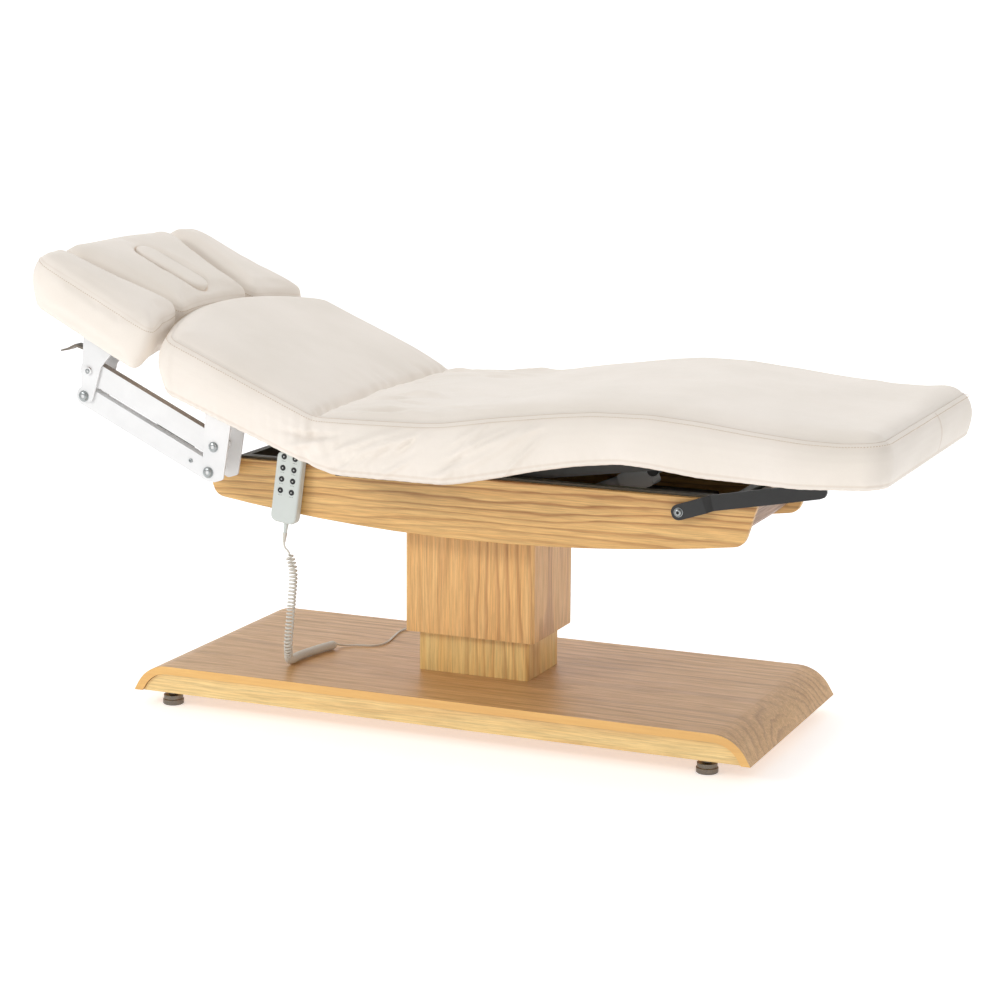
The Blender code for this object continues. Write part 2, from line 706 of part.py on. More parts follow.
def strap(name, stations, height, thickness, finish_material, parent):
    """A flat bar that follows stations of (x, z, y), with its height across the path in
    the XZ plane. Its two ends are half round."""
    half = height / 2
    ring_at = []
    first, second = Vector(stations[0][:2]), Vector(stations[1][:2])
    along = (second - first).normalized()
    for k in range(5):
        angle = pi / 2 * (k + 1) / 5
        ring_at.append((first - along * half * cos(angle), stations[0][2], half * sin(angle), along))
    for before, here, after in zip(stations, stations[1:], stations[2:]):
        direction = (Vector(after[:2]) - Vector(before[:2])).normalized()
        ring_at.append((Vector(here[:2]), here[2], half, direction))
    last, previous = Vector(stations[-1][:2]), Vector(stations[-2][:2])
    along = (last - previous).normalized()
    for k in range(5):
        angle = pi / 2 * (k + 1) / 5
        reach = half * cos(pi / 2 - angle) if k else 0.0
        size = half * cos(angle) if k == 4 else half * sin(pi / 2 - angle * 0.92)
        ring_at.append((last + along * reach, stations[-1][2], max(size, half * 0.12), along))
    bm = bmesh.new()
    rings = []
    for centre, y, size, direction in ring_at:
        across = Vector((-direction.y, direction.x)) * size
        ring = []
        for sign, depth in ((-1, 0), (1, 0), (1, thickness), (-1, thickness)):
            point = centre + across * sign
            ring.append(bm.verts.new((point.x, y + depth, point.y)))
        rings.append(ring)
    bm.faces.new(rings[0])
    bm.faces.new(rings[-1])
    for near, far in zip(rings, rings[1:]):
        for i in range(4):
            j = (i + 1) % 4
            bm.faces.new((near[i], near[j], far[j], far[i]))
    return finish(name, bm, finish_material, parent)


def make_struts(black, struts):
    for side, sign in (("near", -1), ("far", 1)):
        outer, inner = 0.2155, 0.2050
        places = [(STRUT_PIVOT, outer)]
        for share in (0.55, 0.80):
            x = STRUT_PIVOT[0] + (STRUT_BEND[0] - STRUT_PIVOT[0]) * share
            z = STRUT_PIVOT[1] + (STRUT_BEND[1] - STRUT_PIVOT[1]) * share
            places.append(((x, z), outer))
        places.append((STRUT_BEND, inner))
        for share in (0.15, 0.60, 1.0):
            x = STRUT_BEND[0] + (STRUT_END[0] - STRUT_BEND[0]) * share
            z = STRUT_BEND[1] + (STRUT_END[1] - STRUT_BEND[1]) * share
            places.append(((x, z), inner))
        stations = [(x, z, y if sign > 0 else -y - 0.006) for (x, z), y in places]
        bar = strap("leg_strut_" + side, stations, STRUT_HEIGHT, 0.006, black, struts)
        x, z = STRUT_PIVOT
        start, end = sorted((sign * 0.2035, sign * 0.2240))
        add_rod(bar, f"strut_bolt_{side}", (x, start, z), (x, end, z), 0.0085, sides=18, parent=struts)
        x, z = STRUT_END
        start, end = sorted((sign * 0.2010, sign * 0.2075))
        add_rod(bar, f"strut_pin_{side}", (x, start, z), (x, end, z), 0.006, parent=struts)


# ---------------------------------------------------------------- headrest
def make_arms(white, upper, lower):
    sets = (
        ("headrest_upper_link", ARM_BACK_UPPER, ARM_HEAD_UPPER, 0.025, upper),
        ("headrest_lower_link", ARM_BACK_LOWER, ARM_HEAD_LOWER, 0.0225, lower),
    )
    for name, start, end, half, body in sets:
        for side, sign in (("near", -1), ("far", 1)):
            low_y, high_y = sorted((sign * ARM_Y[0], sign * ARM_Y[1]))
            bar = prism(f"{name}_{side}", stadium(start, end, half, 8), low_y, high_y, white, body)
            for where, (x, z) in (("back", start), ("head", end)):
                pin_in, pin_out = sign * 0.2275, sign * 0.3035
                add_rod(bar, f"{name}_pin_{side}_{where}", (x, pin_in, z), (x, pin_out, z),
                        PIN_RADIUS, parent=body)
                flat, face = sign * 0.3004, sign * 0.3050
                add_rod(bar, f"{name}_bolt_{side}_{where}", (x, flat, z), (x, face, z),
                        0.0092, sides=18, parent=body)
            if body is lower:
                x, z = GAS_LOWER
                inner = sign * 0.2440
                add_rod(bar, f"{name}_stub_{side}", (x, inner, z), (x, sign * 0.280, z),
                        0.0048, parent=body)


def pad_edge_foot(y):
    """Where the pads end towards the backrest, along the headrest."""
    return HEAD_FOOT_END - bulge(y, BED_HALF_WIDTH, BACK_BULGE)


def pad_edge_head(y):
    """Where the pads end at the head."""
    return HEAD_FOOT_END - HEAD_LENGTH - bulge(y, BED_HALF_WIDTH, HEAD_BULGE) + 0.020


def pad_block(name, sides, leather, parent, steps=5):
    """A pad between two lines along the headrest, its ends on the shared arcs. The sides
    are its y at the foot end and back, then at the head end and back."""
    foot_first, foot_last, head_first, head_last = sides
    outlines = []
    for shorter in (HEAD_LEAN, 0):
        points = []
        for k in range(steps + 1):
            y = foot_first + (foot_last - foot_first) * k / steps
            points.append((pad_edge_foot(y), y))
        for k in range(steps + 1):
            y = head_first + (head_last - head_first) * k / steps
            points.append((pad_edge_head(y) + shorter, y))
        outlines.append(points)
    return padded_block(name, *outlines, *HEAD_PAD, leather, parent, 0.014)


def make_headrest(leather, white, black, head, tilted, plug_axis, lever_axis, steel):
    low, high = HEAD_PAD
    middle_foot, middle_head, gap = 0.158, 0.238, 0.006
    centre = pad_block("head_pad_centre", (-middle_foot, middle_foot, middle_head, -middle_head),
                       leather, tilted)
    reach = (SLOT_LENGTH - SLOT_WIDTH) / 2
    ends = ((SLOT_X - reach, 0), (SLOT_X + reach, 0))
    hole = stadium(*ends, SLOT_WIDTH / 2)
    cut_prism(centre, "face_hole", hole, low - 0.05, high + 0.05, "Z", tilted, True)
    plug = stadium(*ends, SLOT_WIDTH / 2 - 0.0015)
    filler = prism("face_slot_plug", plug, high - 0.040, high + 0.002, leather, plug_axis,
                   "Z", local=True)
    soften(filler, 0.006, 2)
    for side, sign in (("near", -1), ("far", 1)):
        outer = BED_HALF_WIDTH - 0.002
        sides = (middle_foot + gap, outer, outer - 0.022, middle_head + gap)
        pad_block("head_pad_" + side, [sign * y for y in sides], leather, tilted)

    board_outline = rounded(box_outline((-0.190, -0.330), (0.045, 0.330)), 0.03, 4)
    board = prism("headrest_board", board_outline, low - 0.0125, low - 0.0005, black,
                  tilted, "Z", local=True)
    board_hole = stadium(*ends, SLOT_WIDTH / 2 + 0.002)
    cut_prism(board, "board_hole", board_hole, low - 0.05, high, "Z", tilted, True)

    under = low - 0.0129
    pivot_x, pivot_z = ARM_HEAD_LOWER
    outline = [
        (pivot_x - 0.009, pivot_z - 0.012),
        (pivot_x + 0.020, pivot_z - 0.014),
        (pivot_x + 0.046, pivot_z + 0.068),
        head_point(0.028, under),
        head_point(-0.062, under),
    ]
    shape = rounded(outline, [0.010, 0.012, 0.010, 0, 0], 4)
    for side, sign in (("near", -1), ("far", 1)):
        low_y, high_y = sorted((sign * PLATE_Y[0], sign * PLATE_Y[1]))
        bracket = prism("headrest_bracket_" + side, shape, low_y, high_y, white, head)
        gap_y = sorted((sign * (PLATE_Y[0] + PLATE), sign * (PLATE_Y[1] - PLATE)))
        room = [(-1.05, 0.60), (-0.70, 0.60), head_point(0.20, under - 0.004),
                head_point(-0.20, under - 0.004)]
        cut_prism(bracket, f"head_room_{side}", room, gap_y[0], gap_y[1], "Y", head)
        for where, pivot in (("upper", ARM_HEAD_UPPER), ("lower", ARM_HEAD_LOWER)):
            hole = circle(pivot, PIN_HOLE, 16)
            cut_prism(bracket, f"head_hole_{side}_{where}", hole, -0.35, 0.35, "Y", head)

    x, z = LEVER_PIVOT
    blade = [
        (x + 0.006, z + 0.004),
        (x - 0.016, z + 0.006),
        (x - 0.040, z + 0.013),
        (x - 0.058, z + 0.004),
        (x - 0.077, z - 0.002),
        (x - 0.076, z - 0.005),
        (x - 0.056, z - 0.001),
        (x - 0.040, z + 0.008),
        (x - 0.016, z + 0.001),
        (x + 0.006, z - 0.004),
    ]
    lever = prism("release_lever", blade, -0.290, -0.262, black, lever_axis)
    add_rod(lever, "lever_hub", (x, -0.2950, z), (x, -0.2550, z), 0.0070, parent=lever_axis)


def make_gas_spring(steel, black, cylinder_axis, rod_axis):
    start, end = Vector((*GAS_LOWER,)), Vector((*GAS_UPPER,))
    along = (end - start).normalized()

    def at(distance):
        point = start + along * distance
        return (point.x, -GAS_Y, point.y)

    ring = bmesh.new()
    add_prism(ring, circle(GAS_LOWER, 0.0095, 18), -GAS_Y - 0.0065, -GAS_Y + 0.0065)
    tube = finish("gas_spring_cylinder", ring, steel, cylinder_axis)
    add_rod(tube, "gas_tube", at(0.006), at(0.150), 0.0095, parent=cylinder_axis)
    add_rod(tube, "gas_bore", at(0.030), at(0.20), 0.0046, "DIFFERENCE", 14, cylinder_axis)
    hole = circle(GAS_LOWER, 0.0053, 14)
    cut_prism(tube, "gas_eye", hole, -0.30, -0.20, "Y", cylinder_axis)
    length = (end - start).length
    bm = bmesh.new()
    rod_between(bm, at(0.085), at(length - 0.006), 0.0040, 14)
    rod = finish("gas_spring_rod", bm, steel, rod_axis)
    centre = start + along * (length - 0.002)
    across = Vector((-along.y, along.x))
    block = []
    for u, v in ((-0.011, -0.007), (0.009, -0.007), (0.009, 0.007), (-0.011, 0.007)):
        corner = centre + along * u + across * v
        block.append((corner.x, corner.y))
    add_to(rod, "gas_head", block, -GAS_Y - 0.008, -GAS_Y + 0.008, "Y", rod_axis)


# ---------------------------------------------------------------- actuators
def make_actuator(name, pivot, target, y, motor_side, grey, steel, body_axis, rod_axis):
    """A linear actuator: a motor box and a tube that turn about the pivot, and a rod
    that slides out towards the target."""
    start, end = Vector(pivot), Vector(target)
    along = (end - start).normalized()
    across = Vector((-along.y, along.x)) * motor_side
    length = (end - start).length

    def at(distance, aside=0.0, shift=0.0):
        point = start + along * distance + across * aside
        return (point.x, y + shift, point.y)

    bm = bmesh.new()
    rod_between(bm, at(0.004), at(length * 0.62), 0.0140, 16)
    tube = finish(name, bm, grey, body_axis)
    motor = []
    for u, v in ((0.012, -0.017), (0.086, -0.017), (0.086, 0.030), (0.012, 0.030)):
        corner = start + along * u + across * v
        motor.append((corner.x, corner.y))
    add_to(tube, name + "_motor", rounded(motor, 0.007, 3), y - 0.026, y + 0.026, "Y", body_axis)
    add_to(tube, name + "_eye", circle(pivot, 0.011, 16), y - 0.012, y + 0.012, "Y", body_axis)
    add_rod(tube, name + "_bore", at(0.060), at(length), 0.0086, "DIFFERENCE", 14, body_axis)
    bm = bmesh.new()
    rod_between(bm, at(0.100), at(length - 0.004), 0.0080, 14)
    rod = finish(name + "_rod", bm, steel, rod_axis)
    add_to(rod, name + "_fork", circle(target, 0.0105, 16), y - 0.010, y + 0.010, "Y", rod_axis)
    hole = circle(target, 0.0062, 14)
    cut_prism(rod, name + "_fork_hole", hole, y - 0.05, y + 0.05, "Y", rod_axis)


# ---------------------------------------------------------------- handset
def make_handset(plastic, dark, handset, top):
    half = HANDSET_WIDTH / 2
    back_y = HANDSET_FRONT_Y + HANDSET_THICKNESS
    corners = [(-half, 0), (half, 0), (half, HANDSET_LENGTH), (-half, HANDSET_LENGTH)]
    outline = rounded(corners, [0.015, 0.015, 0.012, 0.012], 5)
    case = prism("handset_body", outline, HANDSET_FRONT_Y, back_y, plastic, handset, local=True)
    soften(case, 0.005, 3)
    relief = bmesh.new()
    middle = HANDSET_FRONT_Y + HANDSET_THICKNESS / 2
    place = Matrix.Translation((0.004, middle, -0.012))
    bmesh.ops.create_cone(relief, cap_ends=True, segments=14, radius1=0.0036, radius2=0.0062,
                          depth=0.030, matrix=place)
    combine(case, cutter("cord_relief", relief, handset, True), "UNION")
    axis = HANDSET_LENGTH - 0.0095
    for row in range(BUTTON_ROWS):
        for column, sign in (("left", -1), ("right", 1)):
            centre = (sign * BUTTON_COLUMN, axis - row * BUTTON_PITCH)
            name = f"button_{row + 1}_{column}"
            hole = circle(centre, BUTTON_RADIUS + 0.0006, 18)
            cut_prism(case, name + "_hole", hole, HANDSET_FRONT_Y - 0.01,
                      HANDSET_FRONT_Y + 0.0045, "Y", handset, True)
            disc = circle(centre, BUTTON_RADIUS, 18)
            key = prism(name, disc, HANDSET_FRONT_Y - 0.0012, HANDSET_FRONT_Y + 0.0028,
                        dark, handset, local=True)
            soften(key, 0.0008, 1)
    outer = -TROUGH_WIDTH / 2 - GAP
    clip = box_outline((-0.418, 0.520), (-0.388, 0.561))
    holder = prism("handset_holder", clip, back_y + GAP, outer, dark, top)
    soften(holder, 0.001, 1)


# ---------------------------------------------------------------- cord
def smooth_curve(points, spacing):
    """Points at an even spacing on a smooth curve through the given points."""
    knots = [Vector(p) for p in points]
    ends = [2 * knots[0] - knots[1]] + knots + [2 * knots[-1] - knots[-2]]
    dense = []
    for a, b, c, d in zip(ends, ends[1:], ends[2:], ends[3:]):
        for k in range(24):
            t = k / 24
            dense.append(0.5 * (2 * b + (c - a) * t + (2 * a - 5 * b + 4 * c - d) * t * t
                                + (3 * b - a - 3 * c + d) * t ** 3))
    dense.append(knots[-1])
    total = sum((q - p).length for p, q in zip(dense, dense[1:]))
    count = max(2, round(total / spacing))
    placed, walked, target = [dense[0]], 0.0, total / count
    for p, q in zip(dense, dense[1:]):
        step = (q - p).length
        while walked + step >= target * len(placed) - 1e-9 and len(placed) < count:
            placed.append(p.lerp(q, (target * len(placed) - walked) / step))
        walked += step
    placed.append(dense[-1])
    return placed


def cord_tube(name, points, radius, spacing, finish_material, resolution=2):
    curve = bpy.data.curves.new(name, "CURVE")
    curve.dimensions = "3D"
    curve.bevel_depth = radius
    curve.bevel_resolution = resolution
    curve.use_fill_caps = True
    placed = smooth_curve(points, spacing)
    spline = curve.splines.new("POLY")
    spline.points.add(len(placed) - 1)
    for point, place in zip(spline.points, placed):
        point.co = (*place, 1)
    made = bpy.data.objects.new(name, curve)
    curve.materials.append(finish_material)
    bpy.context.scene.collection.objects.link(made)
    return made


CORD_TAIL = (
    (-0.4213, -0.2205, 0.4093),
    (-0.4228, -0.2208, 0.3975),
    (-0.4230, -0.2215, 0.3870),
    (-0.4195, -0.2223, 0.3790),
    (-0.4140, -0.2228, 0.3745),
    (-0.4105, -0.2230, 0.3700),
    (-0.4095, -0.2230, 0.3663),
)
COIL_ROUTE = (
    (-0.4088, -0.2230, 0.3658),
    (-0.3985, -0.2260, 0.3250),
    (-0.4010, -0.2290, 0.2670),
    (-0.4065, -0.2290, 0.2110),
    (-0.4130, -0.2250, 0.1650),
    (-0.4180, -0.2150, 0.1370),
    (-0.4270, -0.1950, 0.1175),
    (-0.4330, -0.1680, 0.1094),
    (-0.4335, -0.1300, 0.1091),
    (-0.4190, -0.0560, 0.1091),
    (-0.4040, -0.0060, 0.1091),
)
CORD_LEAD = (
    (-0.4032, -0.0028, 0.1085),
    (-0.3975, 0.0110, 0.1040),
    (-0.3860, 0.0260, 0.1012),
    (-0.3660, 0.0370, 0.1009),
    (-0.3390, 0.0450, 0.1009),
    (-0.3220, 0.0640, 0.1009),
    (-0.3190, 0.1000, 0.1009),
    (-0.3280, 0.1500, 0.1009),
    (-0.3350, 0.2000, 0.1009),
    (-0.3240, 0.2440, 0.1009),
    (-0.2850, 0.2680, 0.1009),
    (-0.2200, 0.2700, 0.1009),
    (-0.1500, 0.2520, 0.1009),
    (-0.0980, 0.2220, 0.1016),
    (-0.0740, 0.1990, 0.1070),
    (-0.0635, 0.1800, 0.1190),
    (-0.0600, 0.1660, 0.1240),
    (-0.0600, 0.1650, 0.1150),
)


def make_cord(cord):
    cord_tube("cord_tail", CORD_TAIL, CORD_RADIUS, 0.006, cord)
    cord_tube("cord_coil", COIL_ROUTE, COIL_RADIUS, 0.020, cord, 3)
    cord_tube("cord_lead", CORD_LEAD, CORD_RADIUS, 0.0095, cord)


# ---------------------------------------------------------------- assembly
def build():
    clear_scene()
    wood = material("ash_wood", WOOD_LIGHT, 0.45)
    wood_top = material("ash_wood_shaded", WOOD_TOP, 0.45)
    leather = material("cream_leather", LEATHER, 0.5)
    white = material("white_powder_coat", WHITE_PAINT, 0.35)
    black = material("black_powder_coat", BLACK_PAINT, 0.4)
    olive = material("olive_paint", OLIVE_PAINT, 0.5)
    grey = material("grey_plastic", GREY_PLASTIC, 0.5)
    light = material("handset_plastic", HANDSET_GREY, 0.4)
    dark = material("black_plastic", BLACK_PAINT, 0.5)
    steel = material("bare_steel", BARE_STEEL, 0.3, 1.0)
    chrome = material("chrome", CHROME, 0.12, 1.0)
    cord = material("cord_sheath", CORD_GREY, 0.45)

    top = joint("lift_axis", COLUMN_X, 0, UPPER_SLEEVE_BOTTOM)
    back = joint("back_axis", BACK_HINGE[0], 0, BACK_HINGE[1], BACK_TILT, top)
    thigh = joint("thigh_axis", THIGH_HINGE[0], 0, THIGH_HINGE[1], -THIGH_TILT, top)
    calf = joint("knee_axis", KNEE[0], 0, KNEE[1], -CALF_TILT, thigh)
    struts = joint("strut_axis", STRUT_PIVOT[0], 0, STRUT_PIVOT[1], 0, top)
    upper = joint("upper_arm_axis", ARM_BACK_UPPER[0], 0, ARM_BACK_UPPER[1], 0, back)
    lower = joint("lower_arm_axis", ARM_BACK_LOWER[0], 0, ARM_BACK_LOWER[1], 0, back)
    head = joint("head_axis", ARM_HEAD_LOWER[0], 0, ARM_HEAD_LOWER[1], 0, lower)
    tilted = joint("head_pads", ARM_HEAD_LOWER[0], 0, ARM_HEAD_LOWER[1], HEAD_TILT, head)
    plug_axis = joint("plug_axis", ARM_HEAD_LOWER[0], 0, ARM_HEAD_LOWER[1], HEAD_TILT, head)
    lever_axis = joint("lever_axis", LEVER_PIVOT[0], 0, LEVER_PIVOT[1], 0, head)
    cylinder_axis = joint("gas_axis", GAS_LOWER[0], 0, GAS_LOWER[1], 0, lower)
    rod_axis = joint("gas_rod_axis", GAS_UPPER[0], 0, GAS_UPPER[1], 0, cylinder_axis)
    back_motor = joint("back_motor_axis", BACK_ACTUATOR_FIXED[0], 0, BACK_ACTUATOR_FIXED[1], 0, top)
    back_rod = joint("back_rod_axis", *BACK_ACTUATOR_LEVER[:1], 0, BACK_ACTUATOR_LEVER[1], 0, back_motor)
    leg_motor = joint("leg_motor_axis", LEG_ACTUATOR_LEVER[0], 0, LEG_ACTUATOR_LEVER[1], 0, thigh)
    leg_rod = joint("leg_rod_axis", LEG_ACTUATOR_FIXED[0], 0, LEG_ACTUATOR_FIXED[1], 0, leg_motor)
    handset = joint("handset_axis", HANDSET_BOTTOM[0], 0, HANDSET_BOTTOM[1], HANDSET_LEAN, top)

    make_plinth(wood, wood_top, chrome, dark)
    make_column(wood, steel, dark, top)
    make_trough(wood, wood_top, olive, grey, top)
    make_seat(leather, top)
    make_back(leather, black, white, back)
    make_thigh(leather, black, thigh)
    make_calf(leather, black, calf)
    make_struts(black, struts)
    make_arms(white, upper, lower)
    make_headrest(leather, white, black, head, tilted, plug_axis, lever_axis, steel)
    make_gas_spring(steel, dark, cylinder_axis, rod_axis)
    make_actuator("back_actuator", BACK_ACTUATOR_FIXED, BACK_ACTUATOR_LEVER, 0.0, -1, grey,
                  steel, back_motor, back_rod)
    make_actuator("leg_actuator", LEG_ACTUATOR_LEVER, LEG_ACTUATOR_FIXED, LEG_ACTUATOR_Y, 1,
                  grey, steel, leg_motor, leg_rod)
    make_handset(light, dark, handset, top)
    make_cord(cord)


build()
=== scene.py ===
"""Looks for the facial treatment bed: upholstery, lacquered wood, powder-coated arms,
handset and curly cord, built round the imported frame. Metres, the frame's own axes."""
from math import atan2, ceil, cos, pi, radians, sin, sqrt

import bmesh
import bpy
import numpy as np
from mathutils import Matrix, Vector


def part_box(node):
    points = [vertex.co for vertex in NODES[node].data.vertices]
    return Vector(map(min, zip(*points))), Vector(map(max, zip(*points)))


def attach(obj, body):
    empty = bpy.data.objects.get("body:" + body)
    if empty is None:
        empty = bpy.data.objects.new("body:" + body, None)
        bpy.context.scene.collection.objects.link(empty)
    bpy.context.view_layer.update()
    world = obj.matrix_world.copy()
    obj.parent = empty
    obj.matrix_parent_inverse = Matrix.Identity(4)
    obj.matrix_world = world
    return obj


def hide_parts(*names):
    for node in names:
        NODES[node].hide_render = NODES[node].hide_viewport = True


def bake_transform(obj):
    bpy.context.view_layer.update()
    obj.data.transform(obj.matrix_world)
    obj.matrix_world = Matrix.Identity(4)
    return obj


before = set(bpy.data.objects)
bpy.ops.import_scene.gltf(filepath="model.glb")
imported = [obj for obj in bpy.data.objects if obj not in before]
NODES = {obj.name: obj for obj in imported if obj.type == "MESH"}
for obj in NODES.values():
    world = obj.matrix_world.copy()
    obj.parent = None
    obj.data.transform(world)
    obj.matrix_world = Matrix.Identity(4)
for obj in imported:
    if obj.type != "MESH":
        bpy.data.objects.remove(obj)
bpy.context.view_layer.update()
SCENE = bpy.context.scene
SCENE.view_settings.view_transform = "Standard"


# ---------------------------------------------------------------- camera and stage
def make_camera():
    yaw, pitch, roll = radians(23.07), radians(11.33), radians(-0.38)
    forward = Vector((-sin(yaw) * cos(pitch), cos(yaw) * cos(pitch), -sin(pitch)))
    right = Vector((cos(yaw), sin(yaw), 0))
    down = forward.cross(right)
    across = right * cos(roll) + down * sin(roll)
    below = down * cos(roll) - right * sin(roll)
    turn = Matrix((across, -below, -forward)).transposed()
    data = bpy.data.cameras.new("camera")
    data.lens = 94.2
    data.sensor_width = 36
    data.clip_end = 60
    camera = bpy.data.objects.new("camera", data)
    camera.matrix_world = Matrix.Translation((2.252, -5.276, 1.633)) @ turn.to_4x4()
    SCENE.collection.objects.link(camera)
    SCENE.camera = camera


def area_light(name, place, target, size, power, colour=(1, 1, 1)):
    data = bpy.data.lights.new(name, "AREA")
    data.shape = "RECTANGLE"
    data.size, data.size_y = size
    data.energy = power
    data.color = colour
    lamp = bpy.data.objects.new(name, data)
    lamp.location = place
    aim = Vector(target) - Vector(place)
    lamp.rotation_euler = aim.to_track_quat("-Z", "Y").to_euler()
    SCENE.collection.objects.link(lamp)


def make_stage():
    world = bpy.data.worlds.new("studio")
    SCENE.world = world
    world.use_nodes = True
    world.node_tree.nodes["Background"].inputs["Color"].default_value = (1, 1, 1, 1)
    world.node_tree.nodes["Background"].inputs["Strength"].default_value = 0.52
    steps = 24
    bm = bmesh.new()
    rows = [(-40.0, 0.0, 40.0), (-12.0, 0.0, 24.0), (5.0, 0.0, 16.0)]
    for k in range(1, steps + 1):
        angle = pi / 2 * k / steps
        rows.append((5.0 + 4.0 * sin(angle), 4.0 - 4.0 * cos(angle), 16.0))
    rows.append((9.0, 14.0, 16.0))
    left = [bm.verts.new((-half, y, z)) for y, z, half in rows]
    right = [bm.verts.new((half, y, z)) for y, z, half in rows]
    for i in range(len(rows) - 1):
        bm.faces.new((left[i], right[i], right[i + 1], left[i + 1]))
    floor = linked("floor", bm)
    floor.data.shade_smooth()
    floor.matrix_world = Matrix.Rotation(radians(23), 4, "Z")
    paper = plain("floor_paper", (0.93, 0.93, 0.93), 0.9)
    glow = paper.node_tree.nodes["Principled BSDF"]
    glow.inputs["Emission Color"].default_value = (1, 1, 1, 1)
    glow.inputs["Emission Strength"].default_value = 0.46
    floor.data.materials.append(paper)
    area_light("key", (-3.0, -4.2, 3.0), (-0.1, 0, 0.5), (1.6, 1.2), 80)
    area_light("top", (0.9, 0.6, 3.8), (0, 0, 0.6), (2.2, 1.6), 26)
    area_light("fill", (3.2, -4.6, 1.6), (0, 0, 0.4), (1.8, 1.8), 10)


# ---------------------------------------------------------------- materials
def plain(name, colour, roughness, metallic=0.0):
    made = bpy.data.materials.get(name)
    if made:
        return made
    made = bpy.data.materials.new(name)
    made.use_nodes = True
    shader = made.node_tree.nodes["Principled BSDF"]
    shader.inputs["Base Color"].default_value = (*colour, 1)
    shader.inputs["Roughness"].default_value = roughness
    shader.inputs["Metallic"].default_value = metallic
    return made


class Tree:
    """Shorthand for wiring a material's nodes."""

    def __init__(self, material):
        self.tree = material.node_tree
        self.shader = self.tree.nodes["Principled BSDF"]

    def add(self, kind, **settings):
        node = self.tree.nodes.new(kind)
        for key, value in settings.items():
            setattr(node, key, value)
        return node

    def link(self, start, end):
        self.tree.links.new(start, end)

    def place(self, scale=(1, 1, 1), turn=(0, 0, 0), shift=(0, 0, 0)):
        coords = self.add("ShaderNodeTexCoord")
        mapping = self.add("ShaderNodeMapping")
        mapping.inputs["Scale"].default_value = scale
        mapping.inputs["Rotation"].default_value = [radians(a) for a in turn]
        mapping.inputs["Location"].default_value = shift
        self.link(coords.outputs["Object"], mapping.inputs["Vector"])
        return mapping.outputs["Vector"]

    def noise(self, vector, scale, detail=3, rough=0.5, distortion=0.0):
        node = self.add("ShaderNodeTexNoise")
        node.inputs["Scale"].default_value = scale
        node.inputs["Detail"].default_value = detail
        node.inputs["Roughness"].default_value = rough
        node.inputs["Distortion"].default_value = distortion
        self.link(vector, node.inputs["Vector"])
        return node.outputs["Fac"]

    def ramp(self, value, *stops):
        node = self.add("ShaderNodeValToRGB")
        while len(node.color_ramp.elements) < len(stops):
            node.color_ramp.elements.new(0.5)
        for element, (where, colour) in zip(node.color_ramp.elements, stops):
            element.position = where
            shade = colour if hasattr(colour, "__len__") else (colour, colour, colour)
            element.color = (*shade, 1)
        self.link(value, node.inputs["Fac"])
        return node.outputs["Color"]

    def mix(self, share, first, second, mode="MIX"):
        node = self.add("ShaderNodeMix", data_type="RGBA", blend_type=mode)
        for socket, value in ((0, share), (6, first), (7, second)):
            if hasattr(value, "is_linked"):
                self.link(value, node.inputs[socket])
            elif socket == 0:
                node.inputs[0].default_value = value
            else:
                node.inputs[socket].default_value = (*value, 1)
        return node.outputs[2]

    def bump(self, height, strength, distance, below=None):
        node = self.add("ShaderNodeBump")
        node.inputs["Strength"].default_value = strength
        node.inputs["Distance"].default_value = distance
        self.link(height, node.inputs["Height"])
        if below:
            self.link(below, node.inputs["Normal"])
        return node.outputs["Normal"]


def srgb(*values):
    """A colour read as 0 to 255 in the photograph's own scale, made linear."""
    shares = [v / 255 for v in values]
    return tuple(v / 12.92 if v <= 0.04045 else ((v + 0.055) / 1.055) ** 2.4 for v in shares)


def leather_material():
    """Cream synthetic leather: a pebbled grain, with the sewn lines a little darker."""
    made = plain("cream_leather_look", srgb(240, 230, 220), 0.52)
    t = Tree(made)
    where = t.place()
    broad = t.noise(where, 5.0, 3)
    fine = t.noise(where, 900.0, 2, 0.6)
    tone = t.ramp(broad, (0.35, srgb(236, 227, 216)), (0.65, srgb(242, 233, 223)))
    speckle = t.ramp(fine, (0.3, 0.965), (0.7, 1.0))
    toned = t.mix(1.0, tone, speckle, "MULTIPLY")
    worn = t.add("ShaderNodeAttribute", attribute_name="seam")
    sewn = t.mix(worn.outputs["Fac"], toned, srgb(206, 184, 162))
    t.link(sewn, t.shader.inputs["Base Color"])
    gloss = t.ramp(t.noise(where, 60.0, 3), (0.3, 0.47), (0.7, 0.58))
    t.link(gloss, t.shader.inputs["Roughness"])
    cells = t.add("ShaderNodeTexVoronoi", feature="F1")
    cells.inputs["Scale"].default_value = 620.0
    t.link(where, cells.inputs["Vector"])
    grain = t.bump(cells.outputs["Distance"], 0.16, 0.0006)
    t.link(t.bump(t.noise(where, 34.0, 4, 0.6), 0.10, 0.004, grain), t.shader.inputs["Normal"])
    t.shader.inputs["Specular IOR Level"].default_value = 0.38
    t.shader.inputs["Sheen Weight"].default_value = 0.08
    t.shader.inputs["Sheen Roughness"].default_value = 0.5
    return made


